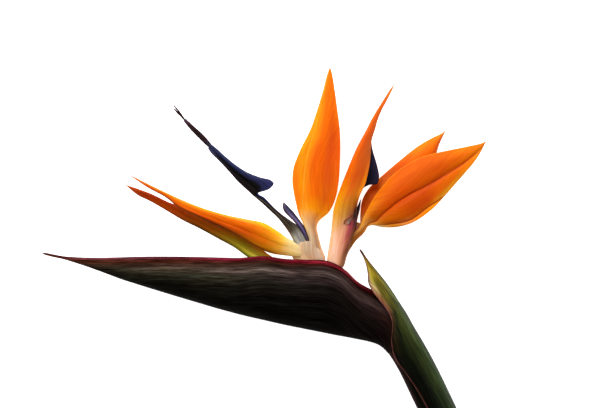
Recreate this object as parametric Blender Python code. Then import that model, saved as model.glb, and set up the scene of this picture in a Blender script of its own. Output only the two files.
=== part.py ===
"""A cut bird of paradise flower, lying on its side.

The flower is drawn in its own plane: X runs from the spathe's tip towards the stem, Y towards the tips of
the upright sepals, and Z up from the surface that it lies on. All lists are in millimetres, with X and Y
measured from the notch between the two florets and Z from the flower's middle plane. At the end the whole
flower is moved so that its origin is the middle of its underside.

Each piece is a sheet with two faces, lofted through a few stations. A station gives a point on one edge, a
point on the other edge, and the height of the sheet there.
"""

import bpy
import numpy as np

MM = 0.001
SHEATH_GAP = 0.5  # clearance between the sheath and what it wraps

SEPAL_THICKNESS = 1.7
PETAL_THICKNESS = 1.5
TONGUE_THICKNESS = 2.6
EDGE_THICKNESS = 0.4
TROUGH_WALL = 1.1
SHEATH_WALL = 1.0
SPATHE_HALF_WIDTH = 13.0
SLOT_HALF_WIDTH = 4.3  # of the spathe's mouth, where the florets stand in it
SLOT_DEPTH = 9.0
LIP_THICKNESS = 0.7

# Stations of sheets: edge x, edge y, other edge x, other edge y, height.
# The last station of a pointed sheet is its tip.
FRONT_UPPER_SEPAL = [
    (-18.2, 1.6, -18.2, 10.0, 0.0),
    (-27.5, 2.9, -24.2, 14.0, 0.9),
    (-35.0, 6.2, -30.7, 17.9, 2.0),
    (-43.5, 11.2, -39.0, 19.8, 3.0),
    (-55.2, 17.0, -51.0, 22.4, 3.6),
    (-65.0, 21.6, -62.5, 25.9, 3.9),
    (-73.0, 25.5, -71.0, 29.3, 4.1),
    (-80.2, 31.0, -78.6, 32.8, 4.2),
    (-88.0, 35.2, -87.0, 36.8, 4.4),
    (-99.5, 43.0, -99.5, 43.0, 4.5),
]
FRONT_LOWER_SEPAL = [
    (-13.7, -6.0, -15.3, -2.0, -1.2),
    (-25.0, -4.6, -24.5, -0.2, -2.2),
    (-38.5, 0.4, -36.0, 8.0, -2.6),
    (-45.5, 5.4, -42.0, 12.2, -2.6),
    (-53.0, 9.5, -50.5, 16.4, -2.6),
    (-63.0, 15.0, -60.5, 20.8, -2.6),
    (-73.0, 20.0, -71.5, 26.0, -2.5),
    (-80.0, 24.2, -78.5, 28.3, -2.4),
    (-88.0, 28.8, -87.5, 32.6, -2.2),
    (-95.0, 32.4, -95.5, 35.6, -2.0),
    (-100.8, 37.3, -100.8, 37.3, -2.0),
]
FRONT_UPRIGHT_SEPAL = [
    (-10.2, 11.4, -4.4, 13.1, 0.0),
    (-11.4, 17.5, -4.6, 16.2, -0.2),
    (-13.3, 21.5, -3.6, 18.8, -0.5),
    (-15.0, 27.5, 1.4, 23.3, -1.0),
    (-16.3, 34.0, 5.0, 31.0, -1.4),
    (-16.9, 39.5, 6.5, 39.5, -1.8),
    (-16.3, 45.5, 7.0, 47.0, -2.1),
    (-13.0, 54.4, 7.3, 56.0, -2.4),
    (-8.0, 64.5, 7.0, 64.5, -2.7),
    (-4.5, 74.5, 5.8, 74.5, -3.0),
    (-1.5, 84.5, 4.5, 84.5, -3.4),
    (0.8, 93.2, 2.9, 93.8, -3.8),
    (2.0, 96.5, 2.0, 96.5, -4.0),
]
FRONT_SMALL_PETAL = [
    (-10.8, 11.3, -9.0, 11.8, 3.0),
    (-13.0, 14.8, -10.6, 16.0, 3.1),
    (-16.2, 18.9, -13.0, 19.3, 3.2),
    (-19.3, 22.0, -15.3, 22.3, 3.4),
    (-21.0, 24.0, -17.0, 24.4, 3.5),
    (-21.7, 26.6, -18.9, 26.4, 3.5),
    (-21.2, 28.6, -21.2, 28.6, 3.5),
]
FRONT_TONGUE = [
    (-16.6, 9.8, -11.3, 11.2, 0.3),
    (-18.1, 12.6, -12.8, 15.5, 0.3),
    (-20.5, 16.0, -17.3, 19.0, 0.3),
    (-23.8, 20.2, -21.6, 22.0, 0.2),
    (-28.0, 24.2, -25.9, 25.7, 0.2),
    (-33.0, 28.8, -30.5, 30.5, 0.2),
    (-36.5, 31.7, -33.4, 33.4, 0.2),
    (-37.4, 32.6, -29.0, 34.6, 0.2),
    (-39.2, 34.2, -26.2, 37.3, 0.2),
    (-41.5, 36.3, -27.2, 39.2, 0.2),
    (-44.5, 39.2, -33.0, 40.9, 0.2),
    (-47.5, 42.6, -39.5, 43.5, 0.2),
    (-51.0, 46.4, -45.5, 47.4, 0.2),
    (-54.5, 50.0, -50.5, 51.5, 0.2),
    (-57.5, 53.0, -55.0, 55.6, 0.2),
    (-59.0, 55.2, -57.9, 57.8, 0.2),
]
FRONT_STYLE = [
    (-59.5, 56.8, -58.2, 58.2, 0.2),
    (-62.8, 60.2, -61.4, 61.8, 0.2),
    (-67.4, 64.9, -66.2, 66.1, 0.1),
    (-71.1, 69.1, -70.2, 69.9, 0.0),
    (-76.4, 74.4, -75.4, 76.6, 0.0),
]
REAR_NEAR_SEPAL = [
    (21.1, 16.4, 16.9, 16.2, 1.2),
    (23.2, 16.9, 18.2, 20.0, 1.6),
    (27.0, 16.1, 19.8, 23.4, 2.4),
    (33.0, 15.8, 23.2, 29.6, 3.4),
    (42.0, 17.8, 29.5, 38.0, 4.2),
    (52.0, 24.3, 37.5, 45.3, 4.4),
    (58.0, 30.2, 47.0, 50.6, 4.4),
    (64.5, 37.6, 57.0, 53.4, 4.3),
    (70.0, 43.9, 67.0, 55.5, 4.0),
    (73.6, 48.2, 72.3, 56.6, 3.8),
    (76.6, 52.6, 76.8, 57.6, 3.5),
    (79.9, 58.9, 79.9, 58.9, 3.2),
]
REAR_FAR_SEPAL = [
    (20.8, 16.4, 16.8, 16.2, -2.2),
    (22.5, 19.0, 17.2, 22.5, -3.0),
    (26.0, 22.0, 17.9, 28.3, -4.4),
    (31.5, 26.0, 21.5, 35.2, -6.0),
    (37.0, 30.0, 27.2, 40.7, -7.2),
    (44.0, 36.0, 37.0, 49.2, -8.2),
    (51.0, 43.5, 47.0, 57.0, -8.8),
    (55.3, 51.0, 53.5, 60.8, -9.0),
    (57.3, 57.5, 57.6, 62.8, -9.1),
    (60.8, 64.8, 60.8, 64.8, -9.2),
]
REAR_SMALL_PETAL = [
    (13.3, 15.8, 15.0, 15.9, 2.4),
    (14.0, 20.5, 15.8, 20.5, 2.4),
    (15.1, 25.0, 16.9, 25.0, 2.4),
    (17.5, 30.5, 17.5, 30.5, 2.4),
]
REAR_TONGUE = [
    (7.4, 15.3, 11.4, 15.6, -0.4),
    (9.5, 22.0, 12.5, 22.4, -0.5),
    (12.2, 29.0, 14.8, 29.4, -0.6),
    (15.0, 35.0, 18.0, 34.9, -0.6),
    (15.8, 36.8, 21.7, 37.0, -0.6),
    (16.6, 38.6, 25.4, 37.4, -0.6),
    (17.4, 41.0, 26.5, 39.9, -0.6),
    (19.1, 46.5, 25.8, 46.0, -0.6),
    (20.2, 51.0, 24.5, 50.7, -0.6),
    (21.2, 55.5, 23.2, 55.4, -0.6),
    (22.6, 62.0, 22.6, 62.0, -0.6),
]
REAR_STYLE = [
    (22.5, 62.6, 23.2, 62.4, -0.5),
    (23.3, 66.4, 24.2, 66.1, -0.2),
    (25.0, 71.0, 25.8, 70.7, 0.0),
    (26.8, 74.4, 27.5, 74.1, 0.0),
    (27.9, 76.6, 28.4, 76.3, 0.0),
]
# Stations of rounded pieces: the same five numbers, then the half width across the flower.
FRONT_FLORET_BASE = [
    (-13.0, -6.6, -2.8, -7.2, 0.0, 3.0),
    (-15.0, -2.0, -0.9, -2.6, 0.0, 3.8),
    (-17.0, 1.2, -0.3, 0.4, 0.0, 3.9),
    (-17.8, 5.0, -2.2, 5.5, 0.0, 4.8),
    (-17.7, 8.4, -3.5, 10.2, 0.0, 5.0),
    (-17.0, 9.2, -4.2, 12.5, 0.0, 4.8),
]
REAR_FLORET_BASE = [
    (2.0, -9.4, 6.4, -9.9, 0.0, 2.8),
    (0.9, -4.2, 7.7, -5.4, 0.0, 3.7),
    (0.6, -1.0, 9.2, -3.0, 0.0, 3.9),
    (0.9, 2.0, 10.3, 1.0, 0.0, 4.2),
    (1.4, 6.0, 12.4, 5.6, 0.0, 4.7),
    (2.0, 10.5, 15.8, 10.2, 0.0, 5.1),
    (2.5, 13.2, 19.2, 13.3, 0.0, 5.2),
    (2.8, 14.6, 21.3, 15.8, 0.0, 5.0),
]
# Its keel is the first edge, and its two margins lie above and below the second.
REAR_NARROW_SEPAL = [
    (3.0, 15.2, 12.4, 16.0, 0.0, 4.6),
    (3.1, 19.5, 13.1, 20.5, 0.0, 5.5),
    (3.6, 24.0, 14.3, 25.0, 0.0, 6.4),
    (5.2, 30.0, 16.5, 31.0, 0.0, 7.0),
    (7.3, 36.0, 19.3, 37.3, 0.0, 7.0),
    (9.6, 42.0, 20.8, 43.0, 0.0, 6.8),
    (12.0, 48.0, 21.9, 49.5, 0.0, 6.2),
    (14.5, 54.0, 22.3, 55.0, 0.0, 5.5),
    (17.1, 59.2, 22.8, 59.6, 0.0, 4.6),
    (20.0, 64.5, 24.4, 64.5, 0.0, 3.7),
    (22.5, 69.5, 25.8, 69.5, 0.0, 2.9),
    (25.4, 74.5, 27.9, 74.5, 0.0, 2.2),
    (28.6, 79.5, 30.6, 79.5, 0.0, 1.6),
    (31.8, 84.5, 33.1, 84.5, 0.0, 1.0),
    (34.5, 88.3, 34.5, 88.3, 0.0, 0.0),
]
# Keel, upper edge, height, half width as a share of the largest, and how far the mouth is open, 0 to 1.
SPATHE = [
    (-142.5, 3.1, -142.5, 3.1, 0.0, 0.0, 0.0),
    (-137.0, 1.3, -137.0, 2.4, 0.0, 0.04, 0.03),
    (-132.7, 0.2, -132.3, 1.6, 0.0, 0.08, 0.04),
    (-123.0, -2.7, -123.6, 0.9, 0.0, 0.18, 0.06),
    (-113.0, -6.2, -113.6, 0.7, 0.0, 0.31, 0.10),
    (-103.0, -9.9, -104.0, 0.9, 0.0, 0.45, 0.14),
    (-93.0, -13.1, -94.0, 1.2, 0.0, 0.59, 0.16),
    (-78.0, -17.7, -79.0, 1.3, 0.0, 0.76, 0.18),
    (-63.0, -22.2, -63.5, 1.1, 0.0, 0.90, 0.22),
    (-52.0, -25.4, -52.0, 0.8, 0.0, 0.96, 0.40),
    (-43.0, -27.8, -43.5, 0.7, 0.0, 0.99, 0.95),
    (-31.0, -30.6, -31.0, 1.6, 0.0, 1.00, 1.0),
    (-20.0, -33.1, -20.0, 0.2, 0.0, 1.00, 1.0),
    (-10.0, -35.1, -10.0, -0.2, 0.0, 1.00, 1.0),
    (0.0, -37.1, 1.0, -0.9, 0.0, 1.00, 1.0),
    (5.0, -38.1, 6.0, -2.9, 0.0, 0.98, 1.0),
    (9.0, -38.8, 10.2, -5.9, 0.0, 0.96, 0.30),
    (14.7, -39.9, 15.4, -10.9, 0.0, 0.92, 0.08),
    (22.2, -41.5, 25.0, -16.5, 0.0, 0.85, 0.05),
    (26.5, -43.1, 34.4, -22.2, 0.0, 0.78, 0.04),
    (29.5, -45.5, 39.6, -29.4, 0.0, 0.72, 0.04),
    (30.9, -47.1, 42.3, -33.4, 0.0, 0.68, 0.04),
]
# Keel side, back, height, half width.
STEM = [
    (31.4, -47.5, 42.6, -34.0, 0.0, 8.7),
    (34.3, -52.0, 47.6, -42.6, 0.0, 8.4),
    (37.0, -56.8, 51.6, -49.8, 0.0, 8.3),
    (42.0, -67.2, 56.9, -60.2, -0.4, 8.2),
    (45.5, -74.5, 60.5, -67.7, -0.8, 8.2),
    (57.5, -100.0, 72.5, -93.3, -2.1, 8.2),
    (69.0, -125.5, 84.1, -119.0, -3.4, 8.2),
]
# Back edge, free margin, height, half width, and the turn from the back edge to the margin in degrees.
SHEATH_TIP = [
    (16.7, 5.3, 16.7, 5.3, 0.0, 0.0, 90.0),
    (19.6, 1.5, 18.3, 1.6, 0.0, 1.3, 90.0),
    (22.6, -2.3, 20.0, -2.8, 0.0, 2.6, 90.0),
    (26.2, -6.7, 20.9, -7.3, 0.0, 4.6, 88.0),
    (30.2, -11.7, 21.8, -12.0, 0.0, 7.0, 85.0),
    (33.6, -16.6, 24.0, -15.6, 0.0, 9.4, 82.0),
]
# Turn to the margin where the sheath lies on the last spathe stations and on the stem's.
SHEATH_TURN_ON_SPATHE = [70.0, 100.0]
SHEATH_TURN_ON_STEM = [150.0, 160.0, 150.0, 132.0, 120.0, 118.0, 118.0]


def read_along(stations, steps):
    """The stations with steps - 1 more between each two, read from a smooth curve through them."""
    rows = np.array(stations, float)
    middle = (rows[:, 0:2] + rows[:, 2:4]) / 2
    along = np.concatenate([[0.0], np.cumsum(np.linalg.norm(np.diff(middle, axis=0), axis=1))])
    slope = np.gradient(rows, along, axis=0)
    result = []
    for i in range(len(rows) - 1):
        span = along[i + 1] - along[i]
        for step in range(steps):
            t = step / steps
            ends = (1 + 2 * t) * (1 - t) ** 2 * rows[i] + t * t * (3 - 2 * t) * rows[i + 1]
            bends = t * (1 - t) ** 2 * slope[i] - t * t * (1 - t) * slope[i + 1]
            result.append(ends + span * bends)
    result.append(rows[-1])
    return np.array(result)


def across(row, share):
    """Points at these shares of the way from a station's first edge to its second."""
    return row[0:2] + np.outer(share, row[2:4] - row[0:2])


def faces_of(flat, upper, lower):
    """The two faces of a section, as lists of points."""
    return np.column_stack([flat, upper]), np.column_stack([flat, lower])


def sheet_section(thickness, bulge, count=6):
    """A sheet that is thickest in the middle and bulges up by a share of its width."""
    share = np.linspace(0, 1, count)
    dome = 4 * share * (1 - share)

    def section(row):
        width = np.linalg.norm(row[2:4] - row[0:2])
        thick = min(thickness, 0.5 * width)
        edge = min(EDGE_THICKNESS, 0.3 * thick)
        half = (edge + (thick - edge) * dome) / 2
        middle = row[4] + bulge * width * dome
        return faces_of(across(row, share), middle + half, middle - half)

    return section


def round_section(row, count=7):
    """An oval whose width across the flower is the row's last number."""
    turn = np.linspace(0, np.pi, count)
    share = (1 - np.cos(turn)) / 2
    half = row[5] * np.sin(turn)
    return faces_of(across(row, share), row[4] + half, row[4] - half)


def arc_section(wall, count=9):
    """A wall that bends round from one margin, over the first edge, to the other margin."""

    def section(row):
        reach = row[2:4] - row[0:2]
        width = np.linalg.norm(reach)
        turn = np.radians(row[6]) if len(row) > 6 else np.pi / 2
        radius = width / (1 - np.cos(turn))
        towards = reach / max(width, 1e-9)
        centre = row[0:2] + towards * radius
        sweep = np.linspace(-turn, turn, count)
        thick = min(wall, 0.35 * radius, 0.5 * row[5])
        layers = []
        for inset in (0.0, thick):
            flat = centre - np.outer(np.cos(sweep), towards * (radius - inset))
            height = row[4] + (row[5] - inset) * np.sin(sweep)
            layers.append(np.column_stack([flat, height]))
        return layers[0], layers[1]

    return section


def boat_section(row, side_count=7):
    """The spathe: round at the keel, closing to two lips, with a slot between them."""
    height = np.linalg.norm(row[2:4] - row[0:2])
    half_width = SPATHE_HALF_WIDTH * row[5]
    slot = min(SLOT_HALF_WIDTH * row[6], 0.6 * half_width)
    depth = min(SLOT_DEPTH * min(1.0, 1.4 * row[6]), 0.4 * height)
    lip = slot + min(LIP_THICKNESS, 0.3 * half_width)
    side = np.linspace(1, 0, side_count)
    share = (1 - np.cos(np.pi * side)) / 2
    flank = half_width * np.sin(np.pi * side)
    flank = flank * (1 - side**6) + np.maximum(flank, lip) * side**6
    share = np.concatenate([share, share[-2::-1]])
    flank = np.concatenate([flank, -flank[-2::-1]])
    sweep = np.linspace(1, -1, len(share))
    slot_share = 1 - depth / max(height, 1e-9) * (1 - abs(sweep) ** 3)
    slot_side = slot * np.clip(1.5 * sweep, -1, 1)
    outside = np.column_stack([across(row, share), row[4] + flank])
    inside = np.column_stack([across(row, slot_share), row[4] + slot_side])
    return outside, inside


def material(name, colour, roughness):
    made = bpy.data.materials.new(name)
    made.use_nodes = True
    shader = made.node_tree.nodes["Principled BSDF"]
    shader.inputs["Base Color"].default_value = (*colour, 1.0)
    shader.inputs["Roughness"].default_value = roughness
    shader.inputs["Metallic"].default_value = 0.0
    return made


def loft(name, stations, section, steps, colour, roughness, tip=None):
    """One closed piece through its stations. tip says which end is a point: "first", "last" or None."""
    rows = read_along(stations, steps)
    sections = [section(row) for row in rows]
    rings = [np.concatenate([upper, lower[::-1]]) for upper, lower in sections]
    count = len(sections[0][0])
    size = 2 * count
    points = np.concatenate(rings) * MM
    faces = []
    for ring in range(len(rings) - 1):
        start = ring * size
        for i in range(size):
            j = (i + 1) % size
            faces.append((start + i, start + j, start + size + j, start + size + i))
    last = (len(rings) - 1) * size
    for i in range(count - 1):
        if tip != "first":
            faces.append((i + 1, i, size - 1 - i, size - 2 - i))
        if tip != "last":
            faces.append((last + i, last + i + 1, last + size - 2 - i, last + size - 1 - i))
    mesh = bpy.data.meshes.new(name)
    mesh.from_pydata(points.tolist(), [], faces)
    piece = bpy.data.objects.new(name, mesh)
    piece.data.materials.append(material(name, colour, roughness))
    bpy.context.scene.collection.objects.link(piece)
    close_up(mesh)
    return piece


def close_up(mesh):
    """Merges the points that meet at a tip or an edge, and turns the faces outwards."""
    import bmesh

    form = bmesh.new()
    form.from_mesh(mesh)
    bmesh.ops.remove_doubles(form, verts=form.verts, dist=1e-5)
    bmesh.ops.dissolve_degenerate(form, edges=form.edges, dist=1e-6)
    bmesh.ops.triangulate(form, faces=form.faces)
    bmesh.ops.recalc_face_normals(form, faces=form.faces)
    form.to_mesh(mesh)
    form.free()
    mesh.shade_smooth()


def grown(row, turn):
    """A station of the sheath that lies SHEATH_GAP outside this station of the spathe's base or the stem."""
    low, high = np.array(row[0:2]), np.array(row[2:4])
    towards = (high - low) / np.linalg.norm(high - low)
    out = SHEATH_GAP + SHEATH_WALL
    radius = np.linalg.norm(high - low) / 2 + out
    centre = (low + high) / 2
    back = centre + towards * radius
    margin = centre + towards * radius * np.cos(np.radians(turn))
    return (*back, *margin, row[4], row[5] + out, turn)


def sheath_stations():
    shoulders = [(*row[0:5], row[5] * SPATHE_HALF_WIDTH) for row in SPATHE[-3:-1]]
    rows = list(SHEATH_TIP)
    rows += [grown(row, turn) for row, turn in zip(shoulders, SHEATH_TURN_ON_SPATHE)]
    rows += [grown(row, turn) for row, turn in zip(STEM, SHEATH_TURN_ON_STEM)]
    return rows


def build():
    orange, cream, salmon = (0.90, 0.22, 0.01), (0.75, 0.55, 0.30), (0.80, 0.42, 0.26)
    blue, brown = (0.02, 0.02, 0.08), (0.05, 0.02, 0.015)
    dark_green, leaf_green, dark_spathe = (0.03, 0.05, 0.02), (0.05, 0.09, 0.03), (0.035, 0.02, 0.018)
    sepal = sheet_section(SEPAL_THICKNESS, 0.10)
    petal = sheet_section(PETAL_THICKNESS, 0.06)
    tongue = sheet_section(TONGUE_THICKNESS, 0.0)
    style = sheet_section(1.4, 0.0, count=3)
    loft("stem", STEM, round_section, 2, dark_green, 0.5)
    loft("sheath_bract", sheath_stations(), arc_section(SHEATH_WALL, count=13), 2, leaf_green, 0.4, tip="first")
    loft("spathe", SPATHE, boat_section, 2, dark_spathe, 0.35, tip="first")
    loft("front_floret_base", FRONT_FLORET_BASE, round_section, 2, cream, 0.5)
    loft("front_upper_sepal", FRONT_UPPER_SEPAL, sepal, 2, orange, 0.4, tip="last")
    loft("front_lower_sepal", FRONT_LOWER_SEPAL, petal, 2, orange, 0.4, tip="last")
    loft("front_upright_sepal", FRONT_UPRIGHT_SEPAL, sepal, 2, orange, 0.4, tip="last")
    loft("front_tongue", FRONT_TONGUE, tongue, 1, blue, 0.4)
    loft("front_small_petal", FRONT_SMALL_PETAL, petal, 2, blue, 0.4, tip="last")
    loft("front_style", FRONT_STYLE, style, 2, brown, 0.6)
    loft("rear_floret_base", REAR_FLORET_BASE, round_section, 2, salmon, 0.5)
    narrow = arc_section(TROUGH_WALL)
    loft("rear_narrow_sepal", REAR_NARROW_SEPAL, narrow, 1, orange, 0.4, tip="last")
    loft("rear_near_sepal", REAR_NEAR_SEPAL, sepal, 2, orange, 0.4, tip="last")
    loft("rear_far_sepal", REAR_FAR_SEPAL, petal, 2, orange, 0.4, tip="last")
    loft("rear_tongue", REAR_TONGUE, petal, 1, blue, 0.4, tip="last")
    loft("rear_small_petal", REAR_SMALL_PETAL, petal, 2, blue, 0.4, tip="last")
    loft("rear_style", REAR_STYLE, style, 2, brown, 0.6)


def settle():
    """Moves every mesh so that the origin is the middle of the whole flower's underside."""
    pieces = [obj for obj in bpy.data.objects if obj.type == "MESH"]
    corners = np.concatenate([[v.co[:] for v in piece.data.vertices] for piece in pieces])
    low, high = corners.min(axis=0), corners.max(axis=0)
    shift = np.array([-(low[0] + high[0]) / 2, -(low[1] + high[1]) / 2, -low[2]])
    for piece in pieces:
        for vertex in piece.data.vertices:
            vertex.co += type(vertex.co)(shift)


for old in list(bpy.data.objects):
    bpy.data.objects.remove(old, do_unlink=True)
build()
settle()
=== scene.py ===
import math

import bmesh
import bpy
import numpy as np
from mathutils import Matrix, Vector


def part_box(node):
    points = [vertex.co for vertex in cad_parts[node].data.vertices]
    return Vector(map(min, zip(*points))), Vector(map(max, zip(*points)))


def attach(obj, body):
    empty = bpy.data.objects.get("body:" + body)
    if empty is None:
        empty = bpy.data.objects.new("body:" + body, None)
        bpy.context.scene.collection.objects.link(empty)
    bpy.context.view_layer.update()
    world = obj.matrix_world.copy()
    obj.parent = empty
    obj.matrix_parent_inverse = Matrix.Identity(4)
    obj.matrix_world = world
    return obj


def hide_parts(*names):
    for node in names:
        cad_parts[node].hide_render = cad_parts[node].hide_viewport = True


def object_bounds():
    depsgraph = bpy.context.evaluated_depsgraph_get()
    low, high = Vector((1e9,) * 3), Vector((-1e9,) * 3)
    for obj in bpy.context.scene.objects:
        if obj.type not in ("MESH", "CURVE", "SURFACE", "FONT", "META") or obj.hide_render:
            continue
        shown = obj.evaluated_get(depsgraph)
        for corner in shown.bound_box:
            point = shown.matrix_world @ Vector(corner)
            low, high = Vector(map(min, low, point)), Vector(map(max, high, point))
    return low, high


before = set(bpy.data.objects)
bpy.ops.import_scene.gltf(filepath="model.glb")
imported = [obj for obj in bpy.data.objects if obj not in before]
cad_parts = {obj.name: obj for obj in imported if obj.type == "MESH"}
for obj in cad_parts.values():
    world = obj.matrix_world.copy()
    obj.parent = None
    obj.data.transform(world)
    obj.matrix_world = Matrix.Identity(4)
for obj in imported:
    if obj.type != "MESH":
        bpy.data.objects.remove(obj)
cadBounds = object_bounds()
bpy.context.scene.view_settings.view_transform = "Standard"
print("frame loaded")

mm = 0.001
spatheLow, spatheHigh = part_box("spathe")
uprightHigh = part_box("front_upright_sepal")[1]
# The notch between the florets, at the flower's middle plane. All stations are measured from it, in mm.
tips = {"spatheLeftOfNotch": 142.5, "uprightAboveNotch": 96.5}
notch = np.array([
    spatheLow.x / mm + tips["spatheLeftOfNotch"],
    uprightHigh.y / mm - tips["uprightAboveNotch"],
    (spatheLow.z + spatheHigh.z) / 2 / mm,
])


def readAlong(stations, count):
    # Even steps along a smooth curve through the stations, and how far along each one is in mm
    rows = np.array(stations, float)
    middle = (rows[:, 0:2] + rows[:, 2:4]) / 2
    along = np.concatenate([[0.0], np.cumsum(np.linalg.norm(np.diff(middle, axis=0), axis=1))])
    slope = np.gradient(rows, along, axis=0)
    spots = np.linspace(0, along[-1], count)
    spans = np.clip(np.searchsorted(along, spots, side="right") - 1, 0, len(rows) - 2)
    length = (along[spans + 1] - along[spans])[:, None]
    t = (spots - along[spans])[:, None] / length
    ends = (1 + 2 * t) * (1 - t) ** 2 * rows[spans] + t * t * (3 - 2 * t) * rows[spans + 1]
    bends = t * (1 - t) ** 2 * slope[spans] - t * t * (1 - t) * slope[spans + 1]
    return ends + length * bends, spots


def readCurve(points, spots):
    xs, ys = zip(*points)
    return np.interp(spots, xs, ys)


bladeEdge = 0.25  # mm, how thick a petal's margin is at most


def sheetFaces(rows, along, share, shape):
    # Front and back of a blade: thin at its edges, crowned or cupped, with creases and wavy margins
    reach = rows[:, None, 2:4] - rows[:, None, 0:2]
    width = np.linalg.norm(reach, axis=2)
    flat = rows[:, None, 0:2] + reach * share[None, :, None]
    dome = 4 * share * (1 - share)
    thick = np.minimum(shape["thickness"], 0.45 * width)
    rim = np.minimum(bladeEdge, 0.3 * thick)
    half = (rim + (thick - rim) * dome**0.6) / 2
    lift = shape["crown"] * width * dome
    for crease in shape.get("creases", []):
        centre = readCurve(crease["path"], along)[:, None]
        depth = crease["depth"] * readCurve(crease.get("fade", [(0, 1), (1, 1)]), along)[:, None]
        away = (share - centre) * width
        lift = lift + depth * np.exp(-abs(away / crease["reach"]) ** crease.get("power", 1.3))
    for wave in shape.get("waves", []):
        edge = (1 - share) if wave["edge"] else share
        swing = np.sin(2 * np.pi * (wave["count"] * along[:, None] + wave.get("shift", 0)))
        lift = lift + wave["height"] * swing * np.exp(-edge * width / wave["reach"]) * np.minimum(1, width / 6)
    middle = rows[:, 4:5] + lift
    front = np.dstack([flat, middle + half])
    back = np.dstack([flat, middle - half])
    return front, back, np.broadcast_to(share, width.shape[:1] + share.shape)


def roundFaces(rows, along, share, shape):
    # A column: the same outline as seen from above, and its own half width across the flower
    turn = np.pi * share
    seen = (1 - np.cos(turn)) / 2
    reach = rows[:, None, 2:4] - rows[:, None, 0:2]
    flat = rows[:, None, 0:2] + reach * seen[None, :, None]
    half = rows[:, 5:6] * np.sin(turn)[None, :]
    front = np.dstack([flat, rows[:, 4:5] + half])
    back = np.dstack([flat, rows[:, 4:5] - half])
    return front, back, np.broadcast_to(seen, half.shape)


def arcFaces(rows, along, share, shape):
    # A wall bent round over its first edge, open at the second: outside and inside
    reach = rows[:, 2:4] - rows[:, 0:2]
    width = np.linalg.norm(reach, axis=1)
    turn = np.radians(rows[:, 6]) if rows.shape[1] > 6 else np.full(len(rows), np.pi / 2)
    radius = width / (1 - np.cos(turn))
    towards = reach / np.maximum(width, 1e-6)[:, None]
    centre = rows[:, 0:2] + towards * radius[:, None]
    sweep = turn[:, None] * (2 * share[None, :] - 1)
    thick = np.minimum(shape["wall"], np.minimum(0.35 * radius, 0.5 * rows[:, 5]))[:, None]
    rim = np.clip(1.15 - abs(2 * share - 1) ** 6, 0.25, 1)[None, :]
    faces = []
    for inset in (0 * thick, thick * rim):
        flat = centre[:, None, :] - (np.cos(sweep) * (radius[:, None] - inset))[:, :, None] * towards[:, None, :]
        height = rows[:, 4:5] + (rows[:, 5:6] - inset) * np.sin(sweep)
        faces.append(np.dstack([flat, height]))
    seen = (1 - np.cos(sweep)) / (1 - np.cos(turn))[:, None]
    return faces[0], faces[1], seen


def boatFaces(rows, along, share, shape):
    # The spathe: a keeled hull whose flanks close to two thin lips, with a mouth between them
    reach = rows[:, None, 2:4] - rows[:, None, 0:2]
    height = np.linalg.norm(reach, axis=2)
    halfWidth = shape["halfWidth"] * rows[:, 5:6]
    opening = np.clip(rows[:, 6:7], 0, 1)
    slot = np.minimum(shape["slotHalfWidth"] * opening, 0.6 * halfWidth)
    depth = np.minimum(shape["slotDepth"] * np.minimum(1, 1.4 * opening), 0.4 * height)
    lip = slot + np.minimum(shape["lip"], 0.3 * halfWidth)
    side = abs(2 * share[None, :] - 1)
    seen = (1 - np.cos(np.pi * side)) / 2
    flank = halfWidth * np.sin(np.pi * side)
    flank = flank * (1 - side**6) + np.maximum(flank, lip) * side**6
    flank = flank * np.sign(1e-9 + 2 * share[None, :] - 1)
    sweep = 2 * share[None, :] - 1
    drop = np.minimum(shape["farLipDrop"] / np.maximum(height, 1e-6), 0.2) * np.clip(-sweep, 0, 1) ** 2
    outside = np.dstack([rows[:, None, 0:2] + reach * (seen - drop)[:, :, None], rows[:, 4:5] + flank])
    slotShare = 1 - depth / np.maximum(height, 1e-6) * (1 - abs(sweep) ** 3)
    slotSide = slot * np.clip(1.5 * sweep, -1, 1)
    inside = np.dstack([rows[:, None, 0:2] + reach * (slotShare - drop)[:, :, None], rows[:, 4:5] + slotSide])
    return outside, inside, np.broadcast_to(seen, flank.shape)


def shellMesh(name, front, back, flow, measure):
    # One closed mesh from two faces. flow: along, across, side. measure: mm along, mm to an edge, mm wide.
    n, m = front.shape[:2]
    points = np.concatenate([front.reshape(-1, 3), back.reshape(-1, 3)]) + notch
    index = np.arange(n * m).reshape(n, m)
    under = index + n * m
    quads = []

    def stitch(a, b, c, d):
        quads.append(np.stack([a.ravel(), b.ravel(), c.ravel(), d.ravel()], axis=1))

    stitch(index[:-1, :-1], index[:-1, 1:], index[1:, 1:], index[1:, :-1])
    stitch(under[:-1, 1:], under[:-1, :-1], under[1:, :-1], under[1:, 1:])
    stitch(index[1:, 0], under[1:, 0], under[:-1, 0], index[:-1, 0])
    stitch(index[:-1, -1], under[:-1, -1], under[1:, -1], index[1:, -1])
    stitch(index[0, 1:], index[0, :-1], under[0, :-1], under[0, 1:])
    stitch(index[-1, :-1], index[-1, 1:], under[-1, 1:], under[-1, :-1])
    mesh = bpy.data.meshes.new(name)
    mesh.from_pydata((points * mm).tolist(), [], np.concatenate(quads).tolist())
    for label, values in (("flow", flow), ("measure", measure)):
        layer = mesh.attributes.new(label, "FLOAT_VECTOR", "POINT")
        layer.data.foreach_set("vector", np.ascontiguousarray(values, np.float32).ravel())
    form = bmesh.new()
    form.from_mesh(mesh)
    bmesh.ops.remove_doubles(form, verts=form.verts, dist=2e-6)
    bmesh.ops.dissolve_degenerate(form, edges=form.edges, dist=1e-7)
    bmesh.ops.recalc_face_normals(form, faces=form.faces)
    form.to_mesh(mesh)
    form.free()
    mesh.shade_smooth()
    piece = bpy.data.objects.new(name, mesh)
    bpy.context.scene.collection.objects.link(piece)
    return piece


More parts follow.
